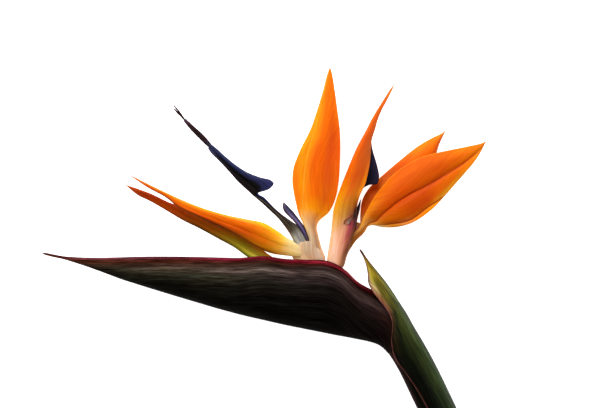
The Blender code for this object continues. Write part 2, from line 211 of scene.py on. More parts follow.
def makeShell(name, shape, facesOf):
    rows, spots = readAlong(shape["stations"], shape.get("alongCount", 200))
    along = spots / spots[-1]
    share = np.linspace(0, 1, shape.get("acrossCount", 56))
    if facesOf is sheetFaces:
        # More steps near the two edges, where a blade thins
        share = 0.5 * share + 0.5 * (1 - np.cos(np.pi * share)) / 2
    front, back, seen = facesOf(rows, along, share, shape)
    width = np.linalg.norm(rows[:, 2:4] - rows[:, 0:2], axis=1)[:, None]
    edge = np.minimum(seen, 1 - seen) * width
    alongAll = np.broadcast_to(along[:, None], seen.shape)
    spotsAll = np.broadcast_to(spots[:, None], seen.shape)
    widthAll = np.broadcast_to(width, seen.shape)
    flow = [np.dstack([alongAll, seen, np.full(seen.shape, side)]).reshape(-1, 3) for side in (0.0, 1.0)]
    measure = [np.dstack([spotsAll, edge, widthAll]).reshape(-1, 3)] * 2
    return shellMesh(name, front, back, np.concatenate(flow), np.concatenate(measure))


def addNode(tree, kind, values=None):
    # Each value is linked if it is a socket, set if the node has that setting, or else given to that input
    node = tree.nodes.new(kind)
    for key, value in (values or {}).items():
        if isinstance(value, bpy.types.NodeSocket):
            tree.links.new(value, node.inputs[key])
        elif isinstance(key, str) and hasattr(node, key):
            setattr(node, key, value)
        else:
            node.inputs[key].default_value = value
    return node


def linear(code):
    # sRGB hex to linear RGBA
    parts = [int(code[i : i + 2], 16) / 255 for i in (0, 2, 4)]
    return [c / 12.92 if c <= 0.04045 else ((c + 0.055) / 1.055) ** 2.4 for c in parts] + [1.0]


# Relief in mm: ribs this far apart and this high, and low lumps of this height and size
reliefOf = {
    "petal": {"Vein Spacing": 1.1, "Vein Height": 0.035, "Lump Height": 0.22, "Lump Size": 9.0},
    "tongue": {"Vein Spacing": 0.9, "Vein Height": 0.03, "Lump Height": 0.08, "Lump Size": 5.0},
    "bract": {"Vein Spacing": 1.5, "Vein Height": 0.05, "Lump Height": 0.30, "Lump Size": 12.0},
    "style": {"Vein Spacing": 0.5, "Vein Height": 0.10, "Lump Height": 0.25, "Lump Size": 2.2},
}


def reliefTree():
    # Raises lengthwise veins and low lumps along the normals, dying out at the margins
    tree = bpy.data.node_groups.new("veinRelief", "GeometryNodeTree")
    face = tree.interface
    face.new_socket("Geometry", in_out="INPUT", socket_type="NodeSocketGeometry")
    for label in ("Vein Spacing", "Vein Height", "Lump Height", "Lump Size", "Seed"):
        face.new_socket(label, in_out="INPUT", socket_type="NodeSocketFloat")
    face.new_socket("Skin", in_out="INPUT", socket_type="NodeSocketMaterial")
    face.new_socket("Geometry", in_out="OUTPUT", socket_type="NodeSocketGeometry")
    given = addNode(tree, "NodeGroupInput").outputs
    readVector = {"data_type": "FLOAT_VECTOR"}
    flow = addNode(tree, "GeometryNodeInputNamedAttribute", dict(readVector, Name="flow"))
    measure = addNode(tree, "GeometryNodeInputNamedAttribute", dict(readVector, Name="measure"))
    across = addNode(tree, "ShaderNodeSeparateXYZ", {0: flow.outputs[0]}).outputs[1]
    alongMm, edge, width = addNode(tree, "ShaderNodeSeparateXYZ", {0: measure.outputs[0]}).outputs
    acrossMm = addNode(tree, "ShaderNodeMath", {"operation": "MULTIPLY", 0: across, 1: width}).outputs[0]
    # Lumps about three times as long as they are wide
    short = addNode(tree, "ShaderNodeMath", {"operation": "MULTIPLY", 0: alongMm, 1: 0.35}).outputs[0]
    place = addNode(tree, "ShaderNodeCombineXYZ", {0: short, 1: acrossMm, 2: given["Seed"]}).outputs[0]
    size = addNode(tree, "ShaderNodeMath", {"operation": "DIVIDE", 0: 1.0, 1: given["Lump Size"]}).outputs[0]
    lumps = addNode(tree, "ShaderNodeTexNoise", {"Detail": 3.0, "Vector": place, "Scale": size}).outputs[0]
    # Veins: a sine across the piece, bent by the lumps
    turns = addNode(tree, "ShaderNodeMath", {"operation": "MULTIPLY", 0: acrossMm, 1: 2 * math.pi}).outputs[0]
    turns = addNode(tree, "ShaderNodeMath", {"operation": "DIVIDE", 0: turns,
        1: given["Vein Spacing"]}).outputs[0]
    bent = addNode(tree, "ShaderNodeMath", {"operation": "MULTIPLY_ADD", 0: lumps, 1: 9.0, 2: turns}).outputs[0]
    veins = addNode(tree, "ShaderNodeMath", {"operation": "SINE", 0: bent}).outputs[0]
    centred = addNode(tree, "ShaderNodeMath", {"operation": "SUBTRACT", 0: lumps, 1: 0.5}).outputs[0]
    lumpy = addNode(tree, "ShaderNodeMath", {"operation": "MULTIPLY", 0: centred, 1: given["Lump Height"]})
    raised = addNode(tree, "ShaderNodeMath", {
        "operation": "MULTIPLY_ADD", 0: veins, 1: given["Vein Height"], 2: lumpy.outputs[0],
    }).outputs[0]
    fade = addNode(tree, "ShaderNodeMapRange", {
        "interpolation_type": "SMOOTHSTEP", "Value": edge, "From Max": 1.4, "To Max": mm,
    }).outputs[0]
    lift = addNode(tree, "ShaderNodeMath", {"operation": "MULTIPLY", 0: raised, 1: fade}).outputs[0]
    normal = addNode(tree, "GeometryNodeInputNormal").outputs[0]
    offset = addNode(tree, "ShaderNodeVectorMath", {"operation": "SCALE", 0: normal, "Scale": lift}).outputs[0]
    moved = addNode(tree, "GeometryNodeSetPosition", {"Geometry": given["Geometry"], "Offset": offset})
    whole = addNode(tree, "GeometryNodeRealizeInstances", {0: moved.outputs[0]})
    skinned = addNode(tree, "GeometryNodeSetMaterial", {"Geometry": whole.outputs[0], "Material": given["Skin"]})
    addNode(tree, "NodeGroupOutput", {0: skinned.outputs[0]})
    return tree


veinRelief = reliefTree()
sharpBend = math.radians(50)  # a bract's thin margins and its cut end stay crisp past this


def applyRelief(piece, kind, skin, seed):
    # Runs the relief on a piece and keeps the result as a plain mesh
    modifier = piece.modifiers.new("relief", "NODES")
    modifier.node_group = veinRelief
    values = dict(reliefOf[kind], Seed=float(seed), Skin=skin)
    for socket in veinRelief.interface.items_tree:
        if socket.in_out == "INPUT" and socket.name in values:
            modifier[socket.identifier] = values[socket.name]
    graph = bpy.context.evaluated_depsgraph_get()
    graph.update()
    made = bpy.data.meshes.new_from_object(piece.evaluated_get(graph), preserve_all_data_layers=True,
        depsgraph=graph)
    piece.modifiers.remove(modifier)
    piece.data = made
    for point in made.vertices:
        point.co.z = min(max(point.co.z, cadBounds[0][2]), cadBounds[1][2])
    made.shade_smooth()
    if kind == "bract":
        made.set_sharp_from_angle(angle=sharpBend)


def bandField(tree, along, across, bands):
    # A band is how far across it lies, then sRGB hex colours from foot to tip, each with its percent along
    # where they are uneven. Each band is blended into the next.
    colour = None
    for i, (at, codes, *span) in enumerate(bands):
        pairs = [code.partition("@") for code in codes.split()]
        even = np.linspace(*(span[0] if span else (0.0, 1.0)), len(pairs)) * 100
        stops = sorted((float(spot or even[k]) / 100, code) for k, (code, _, spot) in enumerate(pairs))
        ramp = addNode(tree, "ShaderNodeValToRGB", {0: along})
        elements = ramp.color_ramp.elements
        elements.remove(elements[1])
        elements[0].position, elements[0].color = stops[0][0], linear(stops[0][1])
        for spot, code in stops[1:]:
            elements.new(spot).color = linear(code)
        if colour is None:
            colour = ramp.outputs[0]
            continue
        step = addNode(tree, "ShaderNodeMapRange", {
            "interpolation_type": "SMOOTHSTEP", "Value": across, "From Min": bands[i - 1][0], "From Max": at,
        })
        mix = {"data_type": "RGBA", 0: step.outputs[0], 6: colour, 7: ramp.outputs[0]}
        colour = addNode(tree, "ShaderNodeMix", mix).outputs[2]
    return colour


def paintLine(tree, colour, along, across, width, line):
    # A soft line along the piece: where it runs across, how strong it is on the way, and how wide in mm
    curves = []
    for points in (line["path"], line["strength"]):
        node = addNode(tree, "ShaderNodeFloatCurve", {"Value": along})
        curve = node.mapping.curves[0]
        curve.points[0].location, curve.points[1].location = points[0], points[-1]
        for point in points[1:-1]:
            curve.points.new(*point)
        node.mapping.update()
        curves.append(node.outputs[0])
    centre, strength = curves
    away = addNode(tree, "ShaderNodeMath", {"operation": "SUBTRACT", 0: across, 1: centre}).outputs[0]
    away = addNode(tree, "ShaderNodeMath", {"operation": "ABSOLUTE", 0: away}).outputs[0]
    away = addNode(tree, "ShaderNodeMath", {"operation": "MULTIPLY", 0: away, 1: width}).outputs[0]
    mask = addNode(tree, "ShaderNodeMapRange", {
        "interpolation_type": "SMOOTHSTEP", "Value": away,
        "From Max": line["width"], "To Min": strength, "To Max": 0.0,
    })
    mix = {"data_type": "RGBA", 0: mask.outputs[0], 6: colour, 7: linear(line["code"])}
    return addNode(tree, "ShaderNodeMix", mix).outputs[2]


# What all the skins share. IOR of moist plant tissue, light reaching red deepest, lengths in mm.
tissue = {
    "ior": 1.42, "radius": (1.0, 0.5, 0.15), "reach": 1.2, "bumpHeight": 0.12,
    "patch": 11.11, "cell": 0.5556, "smoother": 0.08, "rougher": 0.12, "cutFrom": 0.9995,
}


def plantSkin(name, look):
    # look: bands and lines of colour, some of them painted light and shade, streaks, gloss, how far light gets
    # into it, fibre bump
    skin = bpy.data.materials.new(name)
    skin.use_nodes = True
    tree = skin.node_tree
    shader = tree.nodes["Principled BSDF"]
    flow = addNode(tree, "ShaderNodeAttribute", {"attribute_name": "flow"})
    measure = addNode(tree, "ShaderNodeAttribute", {"attribute_name": "measure"})
    place = addNode(tree, "ShaderNodeTexCoord").outputs["Object"]
    along, across, side = addNode(tree, "ShaderNodeSeparateXYZ", {0: flow.outputs["Vector"]}).outputs
    alongMm, edge, width = addNode(tree, "ShaderNodeSeparateXYZ", {0: measure.outputs["Vector"]}).outputs
    acrossMm = addNode(tree, "ShaderNodeMath", {"operation": "MULTIPLY", 0: across, 1: width}).outputs[0]
    # The bands wander a little to each side
    patches = {"Vector": place, "Scale": 1 / (tissue["patch"] * mm), "Detail": 2.0}
    wander = addNode(tree, "ShaderNodeTexNoise", patches).outputs[0]
    sway = look.get("wander", 0.04) / 2
    shift = addNode(tree, "ShaderNodeMapRange", {"Value": wander, "To Min": -sway, "To Max": sway}).outputs[0]
    drifted = addNode(tree, "ShaderNodeMath", {"operation": "ADD", 0: across, 1: shift}).outputs[0]
    if look.get("fromMargin"):
        # Bands and fibres lie at a depth in mm below the upper margin
        acrossMm = addNode(tree, "ShaderNodeMath", {"operation": "SUBTRACT", 0: width, 1: acrossMm}).outputs[0]
        deeper = {"operation": "MULTIPLY_ADD", 0: shift, 1: -look["fromMargin"], 2: acrossMm}
        drifted = addNode(tree, "ShaderNodeMath", deeper).outputs[0]
    colour = bandField(tree, along, drifted, look["bands"])
    if "inside" in look:
        inner = bandField(tree, along, drifted, look["inside"])
        colour = addNode(tree, "ShaderNodeMix", {"data_type": "RGBA", 0: side, 6: colour, 7: inner}).outputs[2]
    for line in look.get("lines", []):
        colour = paintLine(tree, colour, along, across, width, line)
    # Streaks: long fibres, their spacing across in mm and their length several times that
    sheet = addNode(tree, "ShaderNodeCombineXYZ", {0: alongMm, 1: acrossMm, 2: side}).outputs[0]
    for streak in look["streaks"]:
        steps = (1 / (streak["spacing"] * streak["stretch"]), 1 / streak["spacing"], 7.0)
        grid = addNode(tree, "ShaderNodeVectorMath", {"operation": "MULTIPLY", 0: sheet, 1: steps}).outputs[0]
        noise = {"Vector": grid, "Scale": 1.0, "Detail": 4.0, "Roughness": 0.6}
        grain = addNode(tree, "ShaderNodeTexNoise", noise).outputs[0]
        tone = addNode(tree, "ShaderNodeMapRange", {"Value": grain, "From Min": 0.36,
            "From Max": 0.64}).outputs[0]
        tints = {"data_type": "RGBA", 0: tone, 6: linear(streak["low"]), 7: linear("ffffff")}
        tint = addNode(tree, "ShaderNodeMix", tints).outputs[2]
        darker = {"data_type": "RGBA", "blend_type": "MULTIPLY", 0: 1.0, 6: colour, 7: tint}
        colour = addNode(tree, "ShaderNodeMix", darker).outputs[2]
    # Painted light along the margins: a colour blended in near the edges, on the sepals for light shining
    # through, on the arrow for a highlight.
    if "glow" in look:
        glow = look["glow"]
        rim = addNode(tree, "ShaderNodeMapRange", {
            "interpolation_type": "SMOOTHSTEP", "Value": edge, "From Max": glow["reach"],
            "To Min": glow["strength"], "To Max": 0.0,
        })
        mix = {"data_type": "RGBA", 0: rim.outputs[0], 6: colour, 7: linear(glow["code"])}
        colour = addNode(tree, "ShaderNodeMix", mix).outputs[2]
    if "cut" in look:
        # Moist pale flesh where the knife went through
        cut = addNode(tree, "ShaderNodeMath", {"operation": "GREATER_THAN", 0: along, 1: tissue["cutFrom"]})
        mix = {"data_type": "RGBA", 0: cut.outputs[0], 6: colour, 7: linear(look["cut"])}
        colour = addNode(tree, "ShaderNodeMix", mix).outputs[2]
    tree.links.new(colour, shader.inputs["Base Color"])
    # Fine fibres six times as long as they are wide, and cells, for the bump and the gloss
    steps = (1 / (6 * look["fibre"]), 1 / look["fibre"], 0.0)
    grid = addNode(tree, "ShaderNodeVectorMath", {"operation": "MULTIPLY", 0: sheet, 1: steps}).outputs[0]
    fibres = addNode(tree, "ShaderNodeTexNoise", {"Vector": grid, "Scale": 1.0, "Detail": 3.0}).outputs[0]
    cellNoise = {"Vector": place, "Scale": 1 / (tissue["cell"] * mm), "Detail": 2.0}
    cells = addNode(tree, "ShaderNodeTexNoise", cellNoise).outputs[0]
    height = addNode(tree, "ShaderNodeMath", {"operation": "MULTIPLY_ADD", 0: cells, 1: 0.35,
        2: fibres}).outputs[0]
    depth = {"Height": height, "Strength": look.get("bump", 0.5), "Distance": tissue["bumpHeight"] * mm}
    tree.links.new(addNode(tree, "ShaderNodeBump", depth).outputs[0], shader.inputs["Normal"])
    low, high = look["roughness"] - tissue["smoother"], look["roughness"] + tissue["rougher"]
    rough = addNode(tree, "ShaderNodeMapRange", {"Value": fibres, "To Min": low, "To Max": high})
    tree.links.new(rough.outputs[0], shader.inputs["Roughness"])
    shader.inputs["IOR"].default_value = tissue["ior"]
    shader.inputs["Specular IOR Level"].default_value = look["specular"]
    if look.get("depth"):
        shader.inputs["Subsurface Weight"].default_value = look["depth"]
        shader.inputs["Subsurface Radius"].default_value = tissue["radius"]
        shader.inputs["Subsurface Scale"].default_value = tissue["reach"] * mm
    return skin


def makePiece(skinName, shape, node, facesOf, relief, seed):
    skin = plantSkin(skinName, shape["look"])
    piece = makeShell(node + "Shown", shape, facesOf)
    if "threads" in shape:
        thin = dict(shape, thickness=0.5, alongCount=60, acrossCount=14)
        threads = [makeShell("thread", dict(thin, stations=rows), facesOf) for rows in shape["threads"]]
        with bpy.context.temp_override(active_object=piece, selected_editable_objects=[piece] + threads):
            bpy.ops.object.join()
    applyRelief(piece, relief, skin, seed)
    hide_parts(node)
    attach(piece, "root")
    print(node, "made,", len(piece.data.polygons), "faces")


# Stations, for a blade: lower edge x and y, upper edge x and y, height. Others add their half width across,
# the spathe its half width and mouth as shares, the sheath its half width and how far it is turned round.

# waxyBractSkin: a tough waxy leaf. The eye sees dark olive brown, long fine fibres and a crimson margin, with a
# painted sheen band and painted shade towards the keel.
spathe = {
    "halfWidth": 13.0, "slotHalfWidth": 4.3, "slotDepth": 9.0, "lip": 0.6, "farLipDrop": 0.9, "alongCount": 420,
    "acrossCount": 150,
    "stations": [
        (-142.5, 3.1, -142.5, 3.1, 0.0, 0.0, 0.0), (-141.3, 2.4, -141.3, 3.2, 0.0, 0.03, 0.02),
        (-137.0, 1.1, -137.0, 2.5, 0.0, 0.05, 0.03), (-132.7, 0.2, -132.3, 1.6, 0.0, 0.08, 0.04),
        (-123.0, -2.7, -123.6, 0.9, 0.0, 0.18, 0.06), (-113.0, -6.2, -113.6, 0.7, 0.0, 0.31, 0.10),
        (-103.0, -9.9, -104.0, 0.9, 0.0, 0.45, 0.14),
        (-93.0, -13.1, -94.0, 1.2, 0.0, 0.59, 0.16), (-78.0, -17.7, -79.0, 1.3, 0.0, 0.76, 0.18),
        (-63.0, -22.2, -63.5, 1.1, 0.0, 0.90, 0.22),
        (-52.0, -25.4, -52.0, 0.8, 0.0, 0.96, 0.40), (-43.0, -27.8, -43.5, 0.7, 0.0, 0.99, 0.95),
        (-31.0, -30.6, -31.0, 1.6, 0.0, 1.00, 1.0),
        (-20.0, -33.1, -20.0, 0.2, 0.0, 1.00, 1.0), (-10.0, -35.1, -10.0, -0.2, 0.0, 1.00, 1.0),
        (0.0, -37.1, 1.0, -0.9, 0.0, 1.00, 1.0),
        (5.0, -38.1, 6.0, -2.9, 0.0, 0.98, 1.0), (9.0, -38.8, 10.2, -5.9, 0.0, 0.96, 0.30),
        (14.7, -39.9, 15.4, -10.9, 0.0, 0.92, 0.08),
        (22.2, -41.5, 25.0, -16.5, 0.0, 0.85, 0.05), (26.5, -43.1, 34.4, -22.2, 0.0, 0.78, 0.04),
        (29.5, -45.5, 39.6, -29.4, 0.0, 0.72, 0.04),
        (30.9, -47.1, 42.3, -33.4, 0.0, 0.68, 0.04),
    ],
    "look": {
        # Painted sheen: the grey-brown bands 4 to 9 mm below the margin stand in for gloss. Painted shade: the
        # deeper bands go near black towards the keel, partly the leaf's own dark colour.
        "bands": [
            (0.7, "9a5038@0 a75b64@12 a0505c@20 8d4556@28 7e2a34@36 9c2c40@44 d93a66@50 c02c50@53 b02440@60 "
            "c42a48@70 d04050@78 c83a4c@84 9a2438@90 8a2e2e@100"),
            (1.5, "9a5038@0 74402c@12 66302a@25 6a2a26@40 8a2a38@50 7a2430@60 9c2034@70 b02c40@78 94283a@84 "
            "74202c@90 7a2a2a@100"),
            (2.4, "8a4a30@0 683f2c@12 603325@22 623221@32 67372a@42 543124@50 582f24@60 552d26@70 441c1c@80 "
            "31120f@88 53332c@100"),
            (4.0, "3a2a20@0 4b3a2b@10 5e483b@20 60473b@30 61453a@40 5c463c@50 5a443c@58 4c3830@66 4a3c3a@74 "
            "5c4a48@84 564242@100"),
            (6.0, "1c1a12@0 302e1e@12 524f41@22 6d5f4f@32 6c6050@40 82736c@50 887a72@58 806e6c@66 766866@74 "
            "6c5a58@84 553b3a@100"),
            (9.0, "14120c@0 1b1d15@15 37372a@27 454739@37 545344@50 544c47@60 4c4141@70 433535@80 3c2b2b@90 "
            "4c2d21@100"),
            (13.5, "1a1914@0 1e1f18@30 2a2a22@45 2e2c26@60 2a2724@75 281f1e@90 342422@100"),
            (20.0, "1a1914@0 191a13@40 1b1a16@60 1a1815@80 241a19@100"),
        ],
        "fromMargin": 25.0,
        "lines": [{"path": [(0, 0.0), (0.5, 0.0), (1, 0.0)], "width": 0.7, "code": "5a2020",
            "strength": [(0, 0.2), (0.3, 0.6), (0.7, 0.6), (1, 0.9)]}],
        # Painted light: the inside of the lips is lightened so its shaded wall shows crimson rather than dark.
        "inside": [(0.2, "e0506c e0506c f05070 f04c6c e0506c"), (0.8, "a83048 a83048 a82c44 b83048 a83044")],
        "streaks": [
            {"spacing": 0.4, "stretch": 24, "low": "7c7068"}, {"spacing": 1.2, "stretch": 18, "low": "a0948c"},
            {"spacing": 4.0, "stretch": 7, "low": "ccc4c0"},
        ],
        "fibre": 0.5, "roughness": 0.5, "specular": 0.005, "bump": 0.7, "wander": 0.012,
    },
}
makePiece("waxyBractSkin", spathe, "spathe", boatFaces, "bract", 0)

# stalkSkin: smooth ribbed stalk. The eye sees it turn from dark red through near black to green.
stem = {
    "alongCount": 200, "acrossCount": 72,
    "stations": [
        (28.9, -44.0, 38.6, -29.6, 0.0, 7.9), (31.4, -47.5, 42.6, -34.0, 0.0, 8.7),
        (34.3, -52.0, 47.6, -42.6, 0.0, 8.4), (37.0, -56.8, 51.6, -49.8, 0.0, 8.3),
        (42.0, -67.2, 56.9, -60.2, -0.4, 8.2),
        (45.5, -74.5, 60.5, -67.7, -0.8, 8.2), (57.5, -100.0, 72.5, -93.3, -2.1, 8.2),
        (69.0, -125.5, 84.1, -119.0, -3.4, 8.2),
    ],
    "look": {
        "bands": [
            (0.00, "4a1c18 3c1614 2a1210 1c100c 18120c"), (0.12, "1c0f0a 14100a 12140a 12150c 141a0e"),
            (0.5, "1c1a10 1a1c12 1a2010 1e2614 202a16"), (0.9, "2c3018 2c3418 2c3a1a 303e1e 303e1e"),
        ],
        "cut": "b4b684",
        "streaks": [{"spacing": 0.7, "stretch": 20, "low": "9aa090"},
            {"spacing": 2.2, "stretch": 10, "low": "b4b8ac"}],
        "fibre": 0.5, "roughness": 0.45, "specular": 0.01, "bump": 0.7,
    },
}
makePiece("stalkSkin", stem, "stem", roundFaces, "bract", 1)

# sheathSkin: a thinner green leaf. The eye sees a yellow tip and a pale reddish margin against its green.
sheath = {
    "wall": 0.9, "alongCount": 380, "acrossCount": 150, "gap": 0.5,
    "tip": [
        (16.7, 5.3, 16.7, 5.3, 0.0, 0.0, 90.0), (17.9, 4.2, 16.9, 4.1, 0.0, 0.7, 90.0),
        (19.7, 1.5, 18.3, 1.6, 0.0, 1.3, 90.0), (22.6, -2.3, 20.0, -2.8, 0.0, 2.6, 90.0),
        (26.2, -6.7, 20.9, -7.3, 0.0, 4.6, 88.0), (30.2, -11.7, 21.4, -12.2, 0.0, 7.0, 85.0),
        (33.6, -16.6, 23.0, -15.6, 0.0, 9.4, 82.0),
    ],
    "neckBacks": [(36.4, -21.0), (41.1, -28.3)],
    "turnOnSpathe": [70.0, 114.0], "turnOnStem": [129.0, 136.0, 129.0, 117.0, 114.0, 114.0, 114.0],
    "look": {
        "bands": [
            (0.02, "2c1a10@0 5a4020@5 4c5024@12 384422@25 2c3a1c@40 2a3820@70 242e1c@100"),
            (0.12, "3a2014@0 a4834f@4 948a3c@10 747a38@18 566038@28 4a5a30@40 42522c@55 42503a@75 36402c@100"),
            (0.34, "1c0c08@0 3a2010@2.5 9a6a20@4.5 a88a24@9 8a7c24@16 565c22@26 3a441c@40 2b381a@60 263018@80 "
            "202a16@100"),
            (0.60, "1c0c08@0 4a2a10@3 c8a030@6 ccb430@10 8c7c28@15 2c3016@25 181d0a@35 11150a@50 0e120a@75 "
            "0c1208@100"),
            (0.80, "1c0c08@0 4a2210@2.5 e8b840@4.5 ffe060@8 f8d850@12 ffdc98@15.5 a87848@19 4a3a20@25 10120a@40 "
            "0e1006@60 0c0e08@100"),
            (0.96, "1c0c08@0 3a1a10@2.5 a04818@5 d08040@8 ffd0a0@12 ffc8a0@15 c07858@19 5a3020@24 140c08@30 "
            "100a06@60 0c0a06@100"),
        ],
        "inside": [
            (0.1, "ae9791 cfbba9 dbbd99 cdb64c 8a8a38 4a5420 303a18"),
            (0.9, "d5bf9f e4c074 d7bb8a bca143 7a7030 4a4a20 303a18"),
        ],
        "lines": [{"path": [(0, 1.0), (0.5, 1.0), (1, 1.0)], "width": 0.9, "code": "9c5c54",
            "strength": [(0, 0.3), (0.15, 0.7), (0.3, 1.0), (0.45, 0.55), (0.7, 0.45), (1, 0.45)]}],
        "cut": "8e9a5c",
        "streaks": [{"spacing": 0.6, "stretch": 22, "low": "9aa090"},
            {"spacing": 1.9, "stretch": 12, "low": "b4b8ac"}],
        "fibre": 0.5, "roughness": 0.42, "specular": 0.05, "bump": 0.7,
    },
}


def grown(row, turn):
    # A station of the sheath, just outside this station of what it wraps
    low, high = np.array(row[0:2]), np.array(row[2:4])
    towards = (high - low) / np.linalg.norm(high - low)
    out = sheath["gap"] + 1.0
    radius = np.linalg.norm(high - low) / 2 + out
    centre = (low + high) / 2
    back = centre + towards * radius
    margin = centre + towards * radius * math.cos(math.radians(turn))
    return (*back, *margin, row[4], row[5] + out, turn)


shoulders = [(*row[0:5], row[5] * spathe["halfWidth"]) for row in spathe["stations"][-3:-1]]
sheath["stations"] = list(sheath["tip"])
sheath["stations"] += [grown(row, turn) for row, turn in zip(shoulders, sheath["turnOnSpathe"])]
sheath["stations"] += [grown(row, turn) for row, turn in zip(stem["stations"][1:], sheath["turnOnStem"])]
for i, back in enumerate(sheath["neckBacks"]):
    atNeck = len(sheath["tip"]) + i
    sheath["stations"][atNeck] = (*back, *sheath["stations"][atNeck][2:])
makePiece("sheathSkin", sheath, "sheath_bract", arcFaces, "bract", 2)

baseFlesh = {
    "streaks": [
        {"spacing": 0.9, "stretch": 12, "low": "f0dccc"},
        {"spacing": 2.4, "stretch": 7, "low": "f0e0d4"},
    ],
    "fibre": 0.4, "roughness": 0.42, "depth": 0.15, "specular": 0.2,
}

# creamColumn: soft pale flesh. The eye sees where the blue and orange parts fade into the flower's foot.
frontFloretBase = {
    "alongCount": 110, "acrossCount": 64,
    "stations": [
        (-13.0, -6.6, -2.8, -7.2, 0.0, 3.0), (-15.0, -2.0, -0.9, -2.6, 0.0, 3.8),
        (-17.0, 1.2, -0.3, 0.4, 0.0, 3.9), (-17.8, 5.0, -2.2, 5.5, 0.0, 4.8),
        (-17.4, 8.0, -3.5, 10.0, 0.0, 4.6), (-16.4, 9.4, -4.6, 12.4, 0.0, 3.6),
        (-14.8, 11.0, -6.0, 14.0, 0.0, 2.2), (-12.6, 12.4, -8.0, 14.6, 0.0, 0.8),
    ],
    "look": {
        "bands": [
            (0.08, "e8b878@20 fce0a8@40 fce4b0@60 f6dca0@100"),
            (0.30, "dca880@20 f4d8ac@40 f4d8b0@60 e4d4b8@100"),
            (0.50, "c09068@20 dcbc98@40 dccaac@60 d4ccb8@100"),
            (0.66, "b88464@20 dcbc9c@40 d8c0a4@60 ccbcac@100"),
            (0.80, "b07860@20 dcc0a8@40 dcc4ac@60 d0b4a0@100"),
            (0.93, "c89074@20 ecd0b4@40 ecd4b8@60 e4c4a4@100"),
        ],
        **baseFlesh,
    },
}
makePiece("creamColumn", frontFloretBase, "front_floret_base", roundFaces, "petal", 3)

# salmonColumn: the same flesh, blushed. The eye tells the second floret from the first by it.
rearFloretBase = {
    "alongCount": 130, "acrossCount": 64,
    "stations": [
        (2.0, -9.4, 6.4, -9.9, 0.0, 2.8), (0.9, -4.2, 7.7, -5.4, 0.0, 3.7), (0.6, -1.0, 9.2, -3.0, 0.0, 3.3),
        (0.9, 2.0, 10.3, 1.0, 0.0, 3.4),
        (1.4, 6.0, 12.4, 5.6, 0.0, 3.5), (2.0, 10.5, 15.8, 10.2, 0.0, 3.5), (2.6, 13.2, 18.8, 13.3, 0.0, 3.4),
        (3.2, 14.6, 20.4, 15.8, 0.0, 2.6),
        (5.0, 16.4, 18.6, 17.4, 0.0, 1.8), (8.0, 17.8, 16.0, 18.4, 0.0, 0.8),
    ],
    "look": {
        "bands": [
            (0.12, "d88870@10 ecac90@30 f0b898@50 efb494@70 f0c09d@100"),
            (0.45, "c07860@10 eab090@30 e0a080@50 d89478@70 db9c70@100"),
            (0.70, "a86048@10 e0a080@30 c88068@50 b8746c@70 b07850@100"),
            (0.92, "a06848@10 b07850@30 9a6038@50 a06a38@70 b47830@100"),
        ],
        "lines": [{"path": [(0, 0.55), (0.5, 0.62), (1, 0.66)], "width": 1.2, "code": "72350d",
            "strength": [(0, 0), (0.55, 0.2), (0.75, 0.8), (1, 0.8)]}],
        **baseFlesh,
    },
}
makePiece("salmonColumn", rearFloretBase, "rear_floret_base", roundFaces, "petal", 4)

petalFlesh = {
    "streaks": [
        {"spacing": 0.8, "stretch": 14, "low": "f4e4c4"},
        {"spacing": 2.6, "stretch": 9, "low": "f6e8cc"},
    ],
    "fibre": 0.35, "roughness": 0.42, "depth": 0.12, "specular": 0.08,
}

# upperSepalSkin: waxy petal, lit through at its margin, which is painted light. The eye sees yellow above and
# burnt orange below, and a painted shadow along the lower edge.
frontUpperSepal = {
    "thickness": 1.5, "crown": 0.10, "alongCount": 260,
    "creases": [{"path": [(0, 0.5), (0.3, 0.42), (1, 0.4)], "depth": -0.9, "reach": 1.6,
        "fade": [(0, 0.3), (0.3, 1), (0.8, 0.6), (1, 0)]}],
    "waves": [{"edge": 0, "count": 3.4, "height": 0.5, "reach": 2.5, "shift": 0.2},
        {"edge": 1, "count": 2.7, "height": 0.35, "reach": 2.5}],
    "stations": [
        (-9.5, 1.5, -9.0, 6.5, 1.0), (-13.6, 1.2, -13.2, 8.0, 3.2), (-18.2, 1.6, -18.2, 10.0, 3.0),
        (-27.5, 2.9, -24.2, 14.0, 1.6), (-35.0, 6.2, -30.7, 17.9, 2.0),
        (-43.5, 11.2, -39.0, 19.8, 3.0), (-55.2, 17.0, -51.0, 22.4, 3.6), (-65.0, 21.6, -62.5, 25.9, 3.9),
        (-73.0, 25.5, -71.0, 29.3, 4.1), (-80.2, 31.0, -78.6, 32.8, 4.2), (-88.0, 35.2, -87.0, 36.8, 4.4),
        (-99.5, 43.0, -99.5, 43.0, 4.5),
    ],
    "look": {
        "bands": [
            (0.08, "ecd8a8@0 e8cc84@9 d8a040@14 c37e09@18 c07209@25 9c4602@36 923801@47 a03705@58 c34203@70 "
            "bb3c02@80 cf4d05@90 ef9d6e@98"),
            (0.40, "f0dcb4@0 f0d498@9 dca030@14 d97301@22 cf5601@33 e76202@45 eb6604@56 f67004@68 f26a03@78 "
            "e65f11@90 e6631a@98"),
            (0.74, "f4e4b8@0 f8e0a0@9 fcc848@13 f8a820@18 f08c10@24 ee7406@30 f27206@42 f47806@55 f48a0c@68 "
            "f28a10@80 f08e34@90 eea154@98"),
            (0.97, "f4e4b8@0 f8e8b0@9 fed830@14 fcce26@25 fcbe3b@36 fdc636@48 faac0d@60 fac563@72 fec876@83 "
            "f08e34@92 eea154@98"),
        ],
        # Painted shadow: a dark brown line along the lower edge, for the shade in the gap between this petal and
        # the one beneath.
        "lines": [{"path": [(0, 0.03), (1, 0.03)], "width": 1.0, "code": "4a1804",
            "strength": [(0, 0), (0.12, 0), (0.2, 0.75), (0.7, 0.75), (0.85, 0.2), (1, 0)]}],
        **petalFlesh,
        # Painted light: yellow blended in along the margins, for light shining through them.
        "glow": {"reach": 0.5, "strength": 0.12, "code": "ffc04a"},
    },
}
makePiece("upperSepalSkin", frontUpperSepal, "front_upper_sepal", sheetFaces, "petal", 5)
